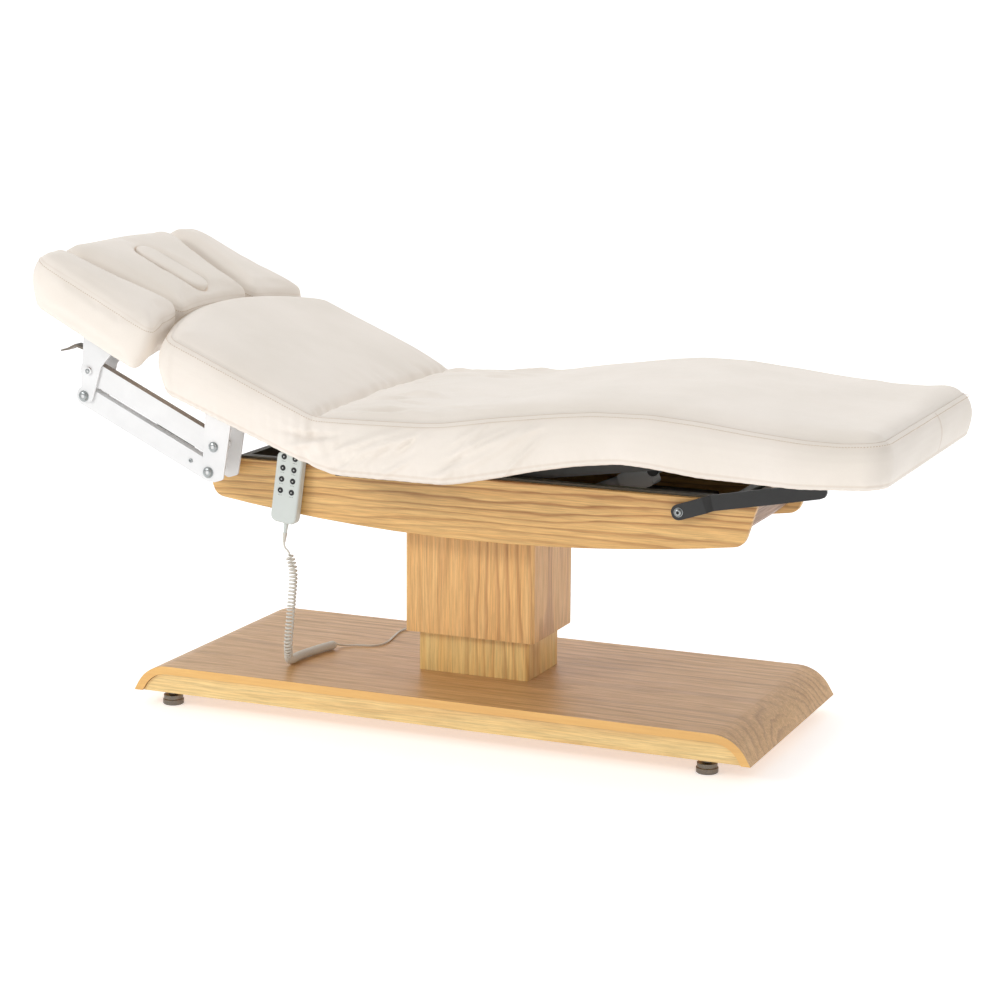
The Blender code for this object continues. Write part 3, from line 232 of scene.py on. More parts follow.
def wood_material(name, light, middle, dark, grain="X", tilt=(0, 4, 3), shift=(0, 0, 0), ring=16.0,
                  arches=0.75, edge=None):
    """Lacquered ash: growth rings cut at a slant, which run out into arches where the
    cut is flat, streaks and open pores along the grain, and a slow change of tone. The
    edge colour shows on the sides of a sheet, where its layers are cut across."""
    made = plain(name, middle, 0.42)
    t = Tree(made)
    squeeze = {"X": (0.13, 1, 1), "Y": (1, 0.13, 1), "Z": (1, 1, 0.13)}[grain]
    fibre = {"X": (1.0, 30, 30), "Y": (30, 1.0, 30), "Z": (30, 30, 1.0)}[grain]
    where = t.place(squeeze, tilt, shift)
    warp = t.add("ShaderNodeTexNoise")
    warp.inputs["Scale"].default_value = 7.0
    warp.inputs["Detail"].default_value = 4
    t.link(where, warp.inputs["Vector"])
    bend = t.add("ShaderNodeVectorMath", operation="MULTIPLY_ADD")
    bend.inputs[1].default_value = (0.11, 0.11, 0.11)
    t.link(warp.outputs["Color"], bend.inputs[0])
    t.link(where, bend.inputs[2])
    rings = t.add("ShaderNodeTexWave", wave_type="RINGS", rings_direction=grain, wave_profile="SAW")
    rings.inputs["Scale"].default_value = ring
    rings.inputs["Distortion"].default_value = 1.5
    rings.inputs["Detail"].default_value = 3.0
    rings.inputs["Detail Scale"].default_value = 3.0
    t.link(bend.outputs["Vector"], rings.inputs["Vector"])
    bands = t.ramp(rings.outputs["Fac"], (0.0, 0.06), (0.55, 0.18), (0.86, 0.85), (1.0, 0.25))
    lines = t.place(fibre)
    pores = t.ramp(t.noise(lines, 11.0, 5, 0.7), (0.38, 0.0), (0.62, 1.0))
    streak = t.noise(lines, 2.2, 5, 0.66)
    body = t.ramp(streak, (0.34, middle), (0.66, light))
    ringed = t.mix(bands, body, dark)
    patch = t.ramp(t.noise(where, 6.0, 2), (0.38, 0.25), (0.62, 1.0))
    share = t.mix(1.0, patch, (arches, arches, arches), "MULTIPLY")
    soft = t.mix(share, body, ringed)
    shade = t.ramp(pores, (0.0, 0.62), (1.0, 1.0))
    tone = t.mix(0.7, soft, t.mix(1.0, soft, shade, "MULTIPLY"))
    if edge:
        facing = t.add("ShaderNodeTexCoord")
        parts = t.add("ShaderNodeSeparateXYZ")
        t.link(facing.outputs["Normal"], parts.inputs["Vector"])
        square = t.add("ShaderNodeMath", operation="MULTIPLY")
        t.link(parts.outputs["Y"], square.inputs[0])
        t.link(parts.outputs["Y"], square.inputs[1])
        side = t.ramp(square.outputs[0], (0.55, 0.0), (0.75, 1.0))
        bright = tuple(min(1, c * 1.12) for c in edge)
        cut_tone = t.mix(0.6, t.ramp(streak, (0.3, edge), (0.7, bright)), tone, "SOFT_LIGHT")
        tone = t.mix(side, tone, cut_tone)
    t.link(tone, t.shader.inputs["Base Color"])
    t.link(t.ramp(pores, (0.0, 0.56), (1.0, 0.36)), t.shader.inputs["Roughness"])
    t.link(t.bump(pores, 0.14, 0.0006), t.shader.inputs["Normal"])
    t.shader.inputs["Coat Weight"].default_value = 0.15
    t.shader.inputs["Coat Roughness"].default_value = 0.32
    return made


def painted(name, colour, roughness, peel=0.10, metallic=0.0):
    """Powder coat or moulded plastic, with a fine orange-peel surface."""
    made = plain(name, colour, roughness, metallic)
    t = Tree(made)
    where = t.place()
    tone = t.noise(where, 14.0, 3)
    dim = tuple(c * 0.94 for c in colour)
    t.link(t.ramp(tone, (0.3, dim), (0.7, colour)), t.shader.inputs["Base Color"])
    t.link(t.bump(t.noise(where, 700.0, 2), peel, 0.0004), t.shader.inputs["Normal"])
    rough = t.ramp(t.noise(where, 90.0, 3), (0.3, roughness * 0.88), (0.7, min(1, roughness * 1.12)))
    t.link(rough, t.shader.inputs["Roughness"])
    return made


def paint_shade_on_top(made, colour):
    """Paints shade onto the faces that look up: a tone of their own, for the shadow they lie in."""
    t = Tree(made)
    facing = t.add("ShaderNodeTexCoord")
    parts = t.add("ShaderNodeSeparateXYZ")
    t.link(facing.outputs["Normal"], parts.inputs["Vector"])
    before = t.shader.inputs["Base Color"].links[0].from_socket
    side = t.ramp(parts.outputs["Z"], (0.45, 0.0), (0.65, 1.0))
    t.link(t.mix(side, before, colour), t.shader.inputs["Base Color"])


def metal(name, colour, roughness, brush=(4, 60, 60)):
    """Plated or brushed metal with fine drawn lines."""
    made = plain(name, colour, roughness, 1.0)
    t = Tree(made)
    where = t.place(brush)
    lines = t.noise(where, 30.0, 4, 0.6)
    t.link(t.ramp(lines, (0.3, roughness * 0.75), (0.7, roughness * 1.35)), t.shader.inputs["Roughness"])
    t.link(t.bump(lines, 0.05, 0.0003), t.shader.inputs["Normal"])
    return made


# ---------------------------------------------------------------- mesh helpers
def linked(name, bm):
    """A new object in the scene, from the mesh that bm holds."""
    mesh = bpy.data.meshes.new(name)
    bm.to_mesh(mesh)
    bm.free()
    made = bpy.data.objects.new(name, mesh)
    SCENE.collection.objects.link(made)
    return made


def make_object(name, bm, material, body, angle=35):
    bmesh.ops.remove_doubles(bm, verts=bm.verts, dist=1e-6)
    bmesh.ops.recalc_face_normals(bm, faces=bm.faces)
    made = linked(name, bm)
    made.data.materials.append(material)
    made.data.shade_smooth()
    made.data.set_sharp_from_angle(angle=radians(angle))
    if body:
        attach(made, body)
    return made


def add_prism(bm, below, above):
    """Adds the solid between two closed rings of the same number of points."""
    low = [bm.verts.new(spot) for spot in below]
    high = [bm.verts.new(spot) for spot in above]
    bm.faces.new(low)
    bm.faces.new(high)
    for i in range(len(low)):
        j = (i + 1) % len(low)
        bm.faces.new((low[i], low[j], high[j], high[i]))


def baked(made):
    """Applies the object's modifiers."""
    graph = bpy.context.evaluated_depsgraph_get()
    graph.update()
    mesh = bpy.data.meshes.new_from_object(made.evaluated_get(graph))
    made.modifiers.clear()
    made.data = mesh


def cut(made, bm):
    """Takes a solid away from a piece."""
    bmesh.ops.recalc_face_normals(bm, faces=bm.faces)
    tool = linked("tool", bm)
    change = made.modifiers.new("cut", "BOOLEAN")
    change.object = tool
    change.operation = "DIFFERENCE"
    change.solver = "EXACT"
    baked(made)
    bpy.data.objects.remove(tool)


def rounded(corners, radii, steps=8):
    """A closed outline whose corners are replaced by arcs."""
    outline = []
    count = len(corners)
    for i, corner in enumerate(corners):
        radius = radii[i] if isinstance(radii, (list, tuple)) else radii
        here = Vector(corner)
        before = (Vector(corners[i - 1]) - here).normalized()
        after = (Vector(corners[(i + 1) % count]) - here).normalized()
        half = before.angle(after) / 2
        if radius <= 0 or half > radians(89):
            outline.append(tuple(here))
            continue
        reach = radius * cos(half) / sin(half)
        centre = here + (before + after).normalized() * (radius / sin(half))
        a = here + before * reach - centre
        turn = a.angle_signed(here + after * reach - centre)
        for k in range(steps + 1):
            angle = -turn * k / steps
            outline.append((centre.x + a.x * cos(angle) - a.y * sin(angle),
                            centre.y + a.x * sin(angle) + a.y * cos(angle)))
    return outline


def stadium(start, end, radius, steps=14):
    along = Vector(end) - Vector(start)
    lean = atan2(along.y, along.x)
    outline = []
    for centre, first in ((end, -pi / 2), (start, pi / 2)):
        for k in range(steps + 1):
            angle = lean + first + pi * k / steps
            outline.append((centre[0] + radius * cos(angle), centre[1] + radius * sin(angle)))
    return outline


def loft(bm, rings, capped=False):
    """Skins rings of points in their order. A ring of one point is a tip."""
    rings = [[bm.verts.new(spot) for spot in ring] for ring in rings]
    for low, high in zip(rings, rings[1:]):
        count = max(len(low), len(high))
        for i in range(count):
            j = (i + 1) % count
            if len(low) == 1:
                bm.faces.new((low[0], high[i], high[j]))
            elif len(high) == 1:
                bm.faces.new((low[i], low[j], high[0]))
            else:
                bm.faces.new((low[i], low[j], high[j], high[i]))
    if capped:
        bm.faces.new(rings[0][::-1])
        bm.faces.new(rings[-1])


def add_turned(bm, profile, centre, axis, sides=32):
    """Adds a solid of revolution. The profile holds (radius, distance) pairs along the
    axis from the centre."""
    turn = Vector(axis).to_track_quat("Z", "Y").to_matrix()
    rings = []
    for radius, distance in profile:
        count = 1 if radius == 0 else sides
        angles = [2 * pi * i / sides for i in range(count)]
        rings.append([Vector(centre) + turn @ Vector((radius * cos(a), radius * sin(a), distance))
                      for a in angles])
    loft(bm, rings)


def add_hex_bolt(bm, place, axis, radius, height, sides=30):
    """A domed button-head bolt with a hexagonal socket."""
    dome = [(0, -0.001), (radius, -0.001), (radius, height * 0.25), (radius * 0.98, height * 0.5),
            (radius * 0.86, height * 0.82), (radius * 0.64, height), (radius * 0.52, height)]
    angles = [2 * pi * i / sides for i in range(sides)]
    rings = [[(r * cos(a), r * sin(a), d) for a in (angles if r else angles[:1])] for r, d in dome]
    flats = [radius * 0.42 / cos((a + pi / 6) % (pi / 3) - pi / 6) for a in angles]
    for depth in (height, height * 0.15):
        rings.append([(flat * cos(a), flat * sin(a), depth) for flat, a in zip(flats, angles)])
    rings.append([(0, 0, height * 0.1)])
    turn = Vector(axis).to_track_quat("Z", "Y").to_matrix()
    loft(bm, [[Vector(place) + turn @ Vector(spot) for spot in ring] for ring in rings])


# ---------------------------------------------------------------- cords
TAIL = (
    (-0.4213, -0.2205, 0.4093), (-0.4228, -0.2208, 0.3975), (-0.4230, -0.2215, 0.3870),
    (-0.4195, -0.2223, 0.3790), (-0.4140, -0.2228, 0.3745), (-0.4105, -0.2230, 0.3700),
    (-0.4095, -0.2230, 0.3663),
)
CURL = (
    (-0.4088, -0.2230, 0.3658), (-0.3985, -0.2260, 0.3250), (-0.4010, -0.2290, 0.2670),
    (-0.4065, -0.2290, 0.2110), (-0.4130, -0.2250, 0.1650), (-0.4180, -0.2150, 0.1370),
    (-0.4270, -0.1950, 0.1175), (-0.4330, -0.1680, 0.1094), (-0.4335, -0.1300, 0.1091),
    (-0.4190, -0.0560, 0.1091), (-0.4040, -0.0060, 0.1091),
)
LEAD = (
    (-0.4032, -0.0028, 0.1085), (-0.3975, 0.0110, 0.1040), (-0.3860, 0.0260, 0.1012),
    (-0.3660, 0.0370, 0.1009), (-0.3390, 0.0450, 0.1009), (-0.3220, 0.0640, 0.1009),
    (-0.3190, 0.1000, 0.1009), (-0.3280, 0.1500, 0.1009), (-0.3350, 0.2000, 0.1009),
    (-0.3240, 0.2440, 0.1009), (-0.2850, 0.2680, 0.1009), (-0.2200, 0.2700, 0.1009),
    (-0.1500, 0.2520, 0.1009), (-0.0980, 0.2220, 0.1016), (-0.0740, 0.1990, 0.1070),
    (-0.0635, 0.1800, 0.1190), (-0.0600, 0.1660, 0.1240), (-0.0600, 0.1650, 0.1150),
)
WIRE = 0.0022
CURL_RADIUS = 0.0081
CURL_STEP = 0.0004
CURL_SIDES = 14  # points in one turn


def smooth_line(points, spacing):
    """Even points along a Catmull-Rom curve through the given ones."""
    knots = [2 * Vector(points[0]) - Vector(points[1])] + [Vector(p) for p in points]
    knots.append(2 * knots[-1] - knots[-2])
    dense = []
    for i in range(1, len(knots) - 2):
        a, b, c, d = knots[i - 1:i + 3]
        for k in range(24):
            t = k / 24
            dense.append(0.5 * (2 * b + (c - a) * t + (2 * a - 5 * b + 4 * c - d) * t * t
                                + (3 * b - a - 3 * c + d) * t ** 3))
    dense.append(knots[-2])
    return even_line(dense, spacing)


def even_line(dense, spacing):
    spots = np.array([tuple(p) for p in dense])
    run = np.concatenate([[0], np.cumsum(np.linalg.norm(np.diff(spots, axis=0), axis=1))])
    count = max(2, int(ceil(run[-1] / spacing)) + 1)
    at = np.linspace(0, run[-1], count)
    return [Vector([np.interp(v, run, spots[:, k]) for k in range(3)]) for v in at]


def curled(line, radius, pitch_of, phase=0.0, ease_in=0.0, ease_out=0.0):
    """A helix round a centre line, its pitch given by a function of height. The ends ease
    in to the line itself over the given lengths."""
    spots = even_line(line, CURL_STEP)
    total = CURL_STEP * (len(spots) - 1)
    side = None
    angle = phase
    path = []
    last = -1e9
    for i, spot in enumerate(spots):
        ahead = (spots[min(i + 1, len(spots) - 1)] - spots[max(i - 1, 0)]).normalized()
        if side is None:
            side = ahead.orthogonal().normalized()
        side = (side - ahead * side.dot(ahead)).normalized()
        other = ahead.cross(side)
        angle += 2 * pi * CURL_STEP / pitch_of(spot)
        reach = radius
        run = i * CURL_STEP
        if ease_in:
            reach *= min(1, run / ease_in) ** 0.6
        if ease_out:
            reach *= min(1, (total - run) / ease_out) ** 0.6
        if angle - last > 2 * pi / CURL_SIDES or i == len(spots) - 1:
            path.append(spot + (side * cos(angle) + other * sin(angle)) * reach)
            last = angle
    return path, angle


def tube(name, path, radius, sides=8):
    """A mesh tube that follows a path, with closed ends."""
    side = None
    rings = []
    angles = [2 * pi * k / sides for k in range(sides)]
    for i, spot in enumerate(path):
        ahead = (path[min(i + 1, len(path) - 1)] - path[max(i - 1, 0)]).normalized()
        if side is None:
            side = ahead.orthogonal().normalized()
        side = (side - ahead * side.dot(ahead)).normalized()
        other = ahead.cross(side)
        rings.append([spot + (side * cos(a) + other * sin(a)) * radius for a in angles])
    bm = bmesh.new()
    loft(bm, rings, capped=True)
    made = linked(name, bm)
    made.data.shade_smooth()
    return made


def make_cords(sheath):
    def pitch_of(spot):
        hang = min(1, max(0, (spot.z - 0.115) / 0.05))
        return 0.0049 + 0.0036 * hang

    line = smooth_line(CURL, 0.002)
    share = next(i for i, p in enumerate(line) if p.z < 0.330)
    upper, angle = curled(line[:share + 1], CURL_RADIUS, pitch_of, 0.0, ease_in=0.006)
    lower, _ = curled(line[share:], CURL_RADIUS, pitch_of, angle, ease_out=0.010)
    tail = smooth_line(TAIL, 0.004)
    first = tail[:-1] + upper
    tail_cord = tube("handset_cord_upper", first, WIRE)
    tail_cord.data.materials.append(sheath)
    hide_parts("cord_tail")
    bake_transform(tail_cord)
    lead = smooth_line(LEAD, 0.005)
    second = [upper[-1]] + lower[1:] + lead[1:]
    main_cord = tube("handset_cord_lower", second, WIRE)
    main_cord.data.materials.append(sheath)
    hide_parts("cord_coil", "cord_lead")
    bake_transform(main_cord)


# ---------------------------------------------------------------- mattress
HALF_WIDTH = 0.3730
HEAD_REACH = 0.4805  # run of the backrest along the seam line
CREASE_POINT = 2  # the point of SEAM_LINE where the back meets the seat
PARTINGS = (-0.13, 0.24)  # X of the cuts between the back, thigh and calf covers
CELLS_S, CELLS_Y = 300, 108
LINE_STEP = 0.002
SIDE_FROM = 0.36  # beyond this Y a border point lies on a long side
PULL_REACH = 0.06
SEAM_SHARE = 0.992
STITCH_PITCH = 0.0062
SEAM_LINE = (
    (-0.7526, 0.9102), (-0.632, 0.859), (-0.274, 0.707), (-0.150, 0.709), (-0.020, 0.712),
    (0.028, 0.716), (0.148, 0.736), (0.291, 0.755), (0.369, 0.763), (0.492, 0.766),
    (0.596, 0.759), (0.705, 0.747), (0.812, 0.738), (0.888, 0.737), (0.979, 0.745),
)
UNDER_LINE = (
    (-0.7526, -0.7330, 0.7720), (-0.632, -0.6390, 0.7350), (-0.274, -0.2940, 0.6050),
    (-0.250, -0.2560, 0.5920), (-0.215, -0.2150, 0.5850), (0.030, 0.0300, 0.5850),
    (0.063, 0.0630, 0.5900), (0.145, 0.1450, 0.6080), (0.234, 0.2340, 0.6300),
    (0.325, 0.3250, 0.6480), (0.421, 0.4210, 0.6600), (0.483, 0.4830, 0.6570),
    (0.592, 0.5920, 0.6450), (0.679, 0.6790, 0.6430), (0.797, 0.7970, 0.6390),
    (0.937, 0.9370, 0.6470), (0.979, 0.9790, 0.6500),
)
# Pairs of outward offset and share of the wall's height, from the top edge to the hem.
WALL = (
    (-0.0158, 1.018), (-0.0120, 0.999), (-0.0122, SEAM_SHARE), (-0.0110, 0.985), (-0.0078, 0.960),
    (-0.0026, 0.90), (0.0030, 0.78), (0.0060, 0.62), (0.0062, 0.46), (0.0046, 0.30), (0.0022, 0.18),
    (-0.0004, 0.105), (-0.0014, 0.085), (-0.0012, 0.060), (-0.0040, 0.015), (-0.0110, -0.010),
)
TOP_PULL = WALL[0][0]
UNDER_INSET = 0.034


def ridge(s, y, centre, angle, length, width):
    """A long soft ridge across the cover, 1 on its middle line."""
    along = (s - centre[0]) * cos(angle) + (y - centre[1]) * sin(angle)
    across = (y - centre[1]) * cos(angle) - (s - centre[0]) * sin(angle)
    return np.exp(-(along / length) ** 2 - (across / width) ** 2)


class Mattress:
    """The one-piece look of the back, seat, thigh and calf cushions. Its own axes are s,
    along the seam line from the crease, and y across it."""

    def __init__(self):
        line = np.array(SEAM_LINE)
        run = np.concatenate([[0], np.cumsum(np.hypot(*np.diff(line, axis=0).T))])
        run -= run[CREASE_POINT]
        fine = np.arange(run[0], run[-1] + 1e-9, LINE_STEP)
        x = np.interp(fine, run, line[:, 0])
        z = np.interp(fine, run, line[:, 1])
        under = np.array(UNDER_LINE)
        bx = np.interp(x, under[:, 0], under[:, 1])
        bz = np.interp(x, under[:, 0], under[:, 2])
        self.s = fine
        self.lines = {
            "x": self.softened(x, 4), "z": self.softened(z, 5),
            "bx": self.softened(bx, 6), "bz": self.softened(bz, 6),
        }
        tx = np.gradient(self.softened(x, 16), fine)
        tz = np.gradient(self.softened(z, 16), fine)
        size = np.hypot(tx, tz)
        self.lines["tx"], self.lines["tz"] = tx / size, tz / size
        self.first, self.last = -HEAD_REACH, float(run[-1])

    @staticmethod
    def softened(values, sigma):
        reach = 4 * sigma
        kernel = np.exp(-0.5 * (np.arange(-reach, reach + 1) / sigma) ** 2)
        kernel /= kernel.sum()
        start = 2 * values[0] - values[reach:0:-1]
        end = 2 * values[-1] - values[-2:-reach - 2:-1]
        return np.convolve(np.concatenate([start, values, end]), kernel, "valid")

    def at(self, key, s):
        return np.interp(s, self.s, self.lines[key])

    def plan(self, s, y):
        """The square grid laid out with round foot corners and a head end that stands out
        in the middle."""
        s, y = np.array(s, float), np.array(y, float)
        for end, radius in ((self.last, 0.052), (self.first, 0.030)):
            sign = 1 if end > 0 else -1
            u = (sign * (s - end) + radius) / radius
            v = (np.abs(y) - HALF_WIDTH + radius) / radius
            corner = (u > 0) & (v > 0)
            u, v = np.where(corner, u, 0), np.where(corner, v, 0)
            s = np.where(corner, end + sign * radius * (u * np.sqrt(1 - v * v / 2) - 1), s)
            round_y = HALF_WIDTH - radius + radius * v * np.sqrt(1 - u * u / 2)
            y = np.where(corner, np.sign(y) * round_y, y)
        length = HEAD_REACH - 0.67 * y * y
        far = s < -0.1
        s = np.where(far, -0.1 - (-s - 0.1) * (length - 0.1) / (HEAD_REACH - 0.1), s)
        return s, y

    def spot(self, s, y, share, out, ns, ny):
        """World points on the wall, at a share of its height and an outward offset."""
        foot = np.stack([self.at("bx", s), y, self.at("bz", s)], -1)
        head = np.stack([self.at("x", s), y, self.at("z", s)], -1)
        across = np.stack([self.at("tx", s) * ns, ny, self.at("tz", s) * ns], -1)
        share, out = np.asarray(share)[..., None], np.asarray(out)[..., None]
        return foot + (head - foot) * share + across * out

    def crown(self, s, y, edge):
        """Height of the top above the seam, with the soft unevenness of a filled cover."""
        crease = np.exp(-(s / 0.070) ** 2)
        full = 0.024 - 0.011 * crease
        quick = 1 - np.exp(-edge / 0.021)
        slow = 1 - np.exp(-edge / 0.085)
        height = 0.0026 + full * (0.62 * quick + 0.38 * slow)
        height = height - 0.016 * np.exp(-(np.abs(s) / 0.011) ** 1.5)
        inside = np.clip(edge / 0.05, 0, 1)
        height += inside * 0.0016 * (np.sin(9 * s + 5 * y + 1) + np.sin(-7 * s + 11 * y + 2)
                                     + 0.7 * np.sin(17 * s + 8 * y) * np.sin(13 * y + 4))
        gather = np.exp(-np.abs(s) / 0.035)
        height += gather * 0.0022 * np.sin(y * 92 + 3 * np.sin(y * 21)) * np.clip(edge / 0.02, 0, 1)
        source = np.random.default_rng(11)
        either = (-1, 1)
        for _ in range(16):  # slanting folds across the seat
            centre = (source.uniform(-0.02, 0.44), source.uniform(-0.33, 0.33))
            angle = source.uniform(0.5, 1.1) * source.choice(either)
            tall = source.uniform(0.0012, 0.0028) * source.choice(either)
            size = (source.uniform(0.05, 0.12), source.uniform(0.010, 0.020))
            height += inside * tall * ridge(s, y, centre, angle, *size)
        for _ in range(22):  # sharper folds along the sides of the seat
            centre = (source.uniform(0.02, 0.34), source.choice(either) * source.uniform(0.14, 0.36))
            tall = source.uniform(0.0046, 0.0092) * source.choice(either)
            angle = source.uniform(-0.5, 0.35)
            size = (source.uniform(0.04, 0.09), source.uniform(0.007, 0.013))
            height += inside * tall * ridge(s, y, centre, angle, *size)
        for _ in range(16):  # faint unevenness everywhere
            centre = (source.uniform(-0.4, 1.2), source.uniform(-0.34, 0.34))
            angle = source.uniform(-1.5, 1.5)
            tall = source.uniform(0.0006, 0.0016) * source.choice(either)
            size = (source.uniform(0.05, 0.14), source.uniform(0.012, 0.030))
            height += inside * tall * ridge(s, y, centre, angle, *size)
        return height

    def edge_distance(self, s, y):
        """Distance in plan from each point to the outline."""
        bs, by = self.loop[:2]
        edge = np.full(s.shape, 9.0)
        for a, b, c, d in zip(bs, by, np.roll(bs, -1), np.roll(by, -1)):
            run2 = (c - a) ** 2 + (d - b) ** 2
            t = np.clip(((s - a) * (c - a) + (y - b) * (d - b)) / run2, 0, 1)
            edge = np.minimum(edge, np.hypot(s - a - t * (c - a), y - b - t * (d - b)))
        return edge

    def top(self, s, y, ends):
        """The crowned top, drawn in towards its middle near the outline."""
        sides = HALF_WIDTH - np.abs(y)
        top_s = s + np.where(s > 0, 1, -1) * TOP_PULL * np.clip(1 - ends / PULL_REACH, 0, 1)
        top_y = y + np.sign(y) * TOP_PULL * np.clip(1 - sides / PULL_REACH, 0, 1)
        height = self.crown(s, y, self.edge_distance(s, y))
        up = np.stack([-self.at("tz", s), 0 * s, self.at("tx", s)], -1)
        return np.stack([self.at("x", top_s), top_y, self.at("z", top_s)], -1) + up * height[..., None]

    def under(self, s, y, ends):
        """The underside, drawn in from the hem, and hollow where the back's board lies."""
        under_s = s - np.where(s > 0, 1, -1) * UNDER_INSET * np.clip(1 - ends / 0.08, 0, 1)
        under_y = y * (1 - UNDER_INSET / HALF_WIDTH)
        spots = np.stack([self.at("bx", under_s), under_y, self.at("bz", under_s) - 0.0012], -1)
        hollow = np.clip((0.330 - np.abs(y)) / 0.045, 0, 1) * np.clip((-0.035 - s) / 0.05, 0, 1)
        spots[..., 2] += 0.0125 * hollow * hollow * (3 - 2 * hollow)
        return spots

    @staticmethod
    def side_folds():
        """Seeded folds of the walls: side, centre, angle, length, width and height."""
        source = np.random.default_rng(23)
        return [(source.choice([-1, 1]), (source.uniform(-0.04, 0.50), source.uniform(0.01, 0.10)),
                 source.uniform(0.25, 0.75), source.uniform(0.030, 0.070), source.uniform(0.0045, 0.0085),
                 source.uniform(0.0060, 0.0125) * source.choice([-1, 1, 1])) for _ in range(44)]

    def wall(self, share, out, folds, run):
        """One row of the wall with its ripples, tucks and folds, and how dark it is sewn."""
        bs, by, ns, ny = self.loop
        middle = np.sin(pi * min(1, max(0, share)))
        side = np.abs(by) > SIDE_FROM
        pucker = np.exp(-np.abs(bs) / 0.05) * side
        ripple = 0.0011 * np.sin(run * 260 + 2 * np.sin(run * 31)) * max(0.0, 1 - share * 3)
        ripple = ripple + 0.0012 * np.sin(run * 23 + 5 * share) * middle
        ripple = ripple + pucker * 0.0030 * np.sin(bs * 210 + share * 5) * middle
        tuck = -0.006 * np.exp(-(bs / 0.010) ** 2) * side
        tuck = tuck + 0.012 * np.clip(-ns, 0, 1) * (bs < -0.2) * middle
        hang = 0
        for sign, centre, angle, long, wide, tall in folds:
            hang = hang + (by * sign > SIDE_FROM) * tall * ridge(
                bs, share * 0.125, centre, angle, long, wide)
        ripple = ripple + 0.0095 * np.tanh(hang / 0.0095)
        if share > 0.95:
            ripple, tuck = ripple * 0.35, tuck * 0.6
        spots = self.spot(bs, by, np.full_like(bs, share), out + ripple + tuck, ns, ny)
        sewn = np.full(len(bs), 0.75 if share == SEAM_SHARE else 0.25 if 0.07 < share < 0.12 else 0.0)
        joint = (ns > 0.9) & (np.abs(by - 0.055) < 0.0036) & (0.1 < share < 0.97)
        return spots, np.where(joint, 0.55, sewn)

    def build(self):
        """Fills in the points, how dark the seam is at each, the faces, and the number of
        the cover that each face belongs to."""
        grid_s = np.linspace(self.first, self.last, CELLS_S + 1)
        grid_y = np.linspace(-HALF_WIDTH, HALF_WIDTH, CELLS_Y + 1)
        s, y = self.plan(*np.meshgrid(grid_s, grid_y, indexing="ij"))
        border = [(0, j) for j in range(CELLS_Y)] + [(i, CELLS_Y) for i in range(CELLS_S)]
        border += [(CELLS_S, j) for j in range(CELLS_Y, 0, -1)] + [(i, 0) for i in range(CELLS_S, 0, -1)]
        rows, columns = np.array(border).T
        bs, by = s[rows, columns], y[rows, columns]
        ds, dy = np.roll(bs, -1) - np.roll(bs, 1), np.roll(by, -1) - np.roll(by, 1)
        size = np.hypot(ds, dy)
        ns, ny = -dy / size, ds / size
        self.loop = (bs, by, ns, ny)
        ends = np.minimum(s - s[0][None, :], s[-1][None, :] - s)
        top = self.top(s, y, ends)
        top[rows, columns] = self.spot(bs, by, np.ones_like(bs), np.full_like(bs, TOP_PULL), ns, ny)
        under = self.under(s, y, ends)
        middle = [(np.interp(-share, [-v for _, v in WALL], [o for o, _ in WALL]), share)
                  for share in np.linspace(0.93, 0.13, 24)]
        profile = list(WALL[1:5]) + middle + list(WALL[11:])
        run = np.concatenate([[0], np.cumsum(size / 2)])[:-1]
        folds = self.side_folds()
        walls = [self.wall(share, out, folds, run) for out, share in profile]
        bare = np.zeros(s.size)
        self.points = np.concatenate([top.reshape(-1, 3)] + [w for w, _ in walls] + [under.reshape(-1, 3)])
        self.seam = np.concatenate([bare] + [sewn for _, sewn in walls] + [bare])
        self.skin(grid_s, border, len(profile))
        return self

    def skin(self, grid_s, border, layers):
        """Faces of the top, the underside and the wall between them."""
        cuts = []
        for x in PARTINGS:
            parting = self.s[np.argmin(abs(self.lines["x"] - x))]
            cuts.append(int(np.argmin(abs(grid_s - parting))))
        cover_of = [sum(i >= cut for cut in cuts) for i in range(CELLS_S + 1)]
        wide = CELLS_Y + 1
        loop = len(border)
        base = (CELLS_S + 1) * wide
        bottom = base + loop * layers
        self.faces, owner = [], []
        for i in range(CELLS_S):
            for j in range(CELLS_Y):
                a, b = i * wide + j, (i + 1) * wide + j
                self.faces.append((a, b, b + 1, a + 1))
                self.faces.append((bottom + a, bottom + a + 1, bottom + b + 1, bottom + b))
                owner += [cover_of[i]] * 2
        rings = [[i * wide + j for i, j in border]]
        rings += [[base + k * loop + n for n in range(loop)] for k in range(layers)]
        rings.append([bottom + i * wide + j for i, j in border])
        for upper, lower in zip(rings, rings[1:]):
            for n in range(loop):
                m = (n + 1) % loop
                self.faces.append((upper[n], upper[m], lower[m], lower[n]))
                owner.append(cover_of[min(border[n][0], border[m][0])])
        self.owner = np.array(owner)


def mattress_stitches(form):
    """Fine stitches just below the seam, each a short rounded bar of thread."""
    bs, by, ns, ny = form.loop
    spots = form.spot(bs, by, np.full_like(bs, 0.935), np.full_like(bs, -0.0006), ns, ny)
    closed = np.vstack([spots, spots[:1]])
    run = np.concatenate([[0], np.cumsum(np.linalg.norm(np.diff(closed, axis=0), axis=1))])
    out = np.stack([form.at("tx", bs) * ns, ny, form.at("tz", bs) * ns], -1)
    out = np.vstack([out, out[:1]])
    sets = [bmesh.new() for _ in range(3)]
    for k in range(int(run[-1] / STITCH_PITCH)):
        where = k * STITCH_PITCH
        here = Vector([np.interp(where, run, closed[:, c]) for c in range(3)])
        ahead = Vector([np.interp(where + 0.002, run, closed[:, c]) for c in range(3)]) - here
        normal = Vector([np.interp(where, run, out[:, c]) for c in range(3)]).normalized()
        cover = sum(here.x > parting for parting in PARTINGS)
        add_stitch(sets[cover], here, ahead.normalized(), normal)
    return sets


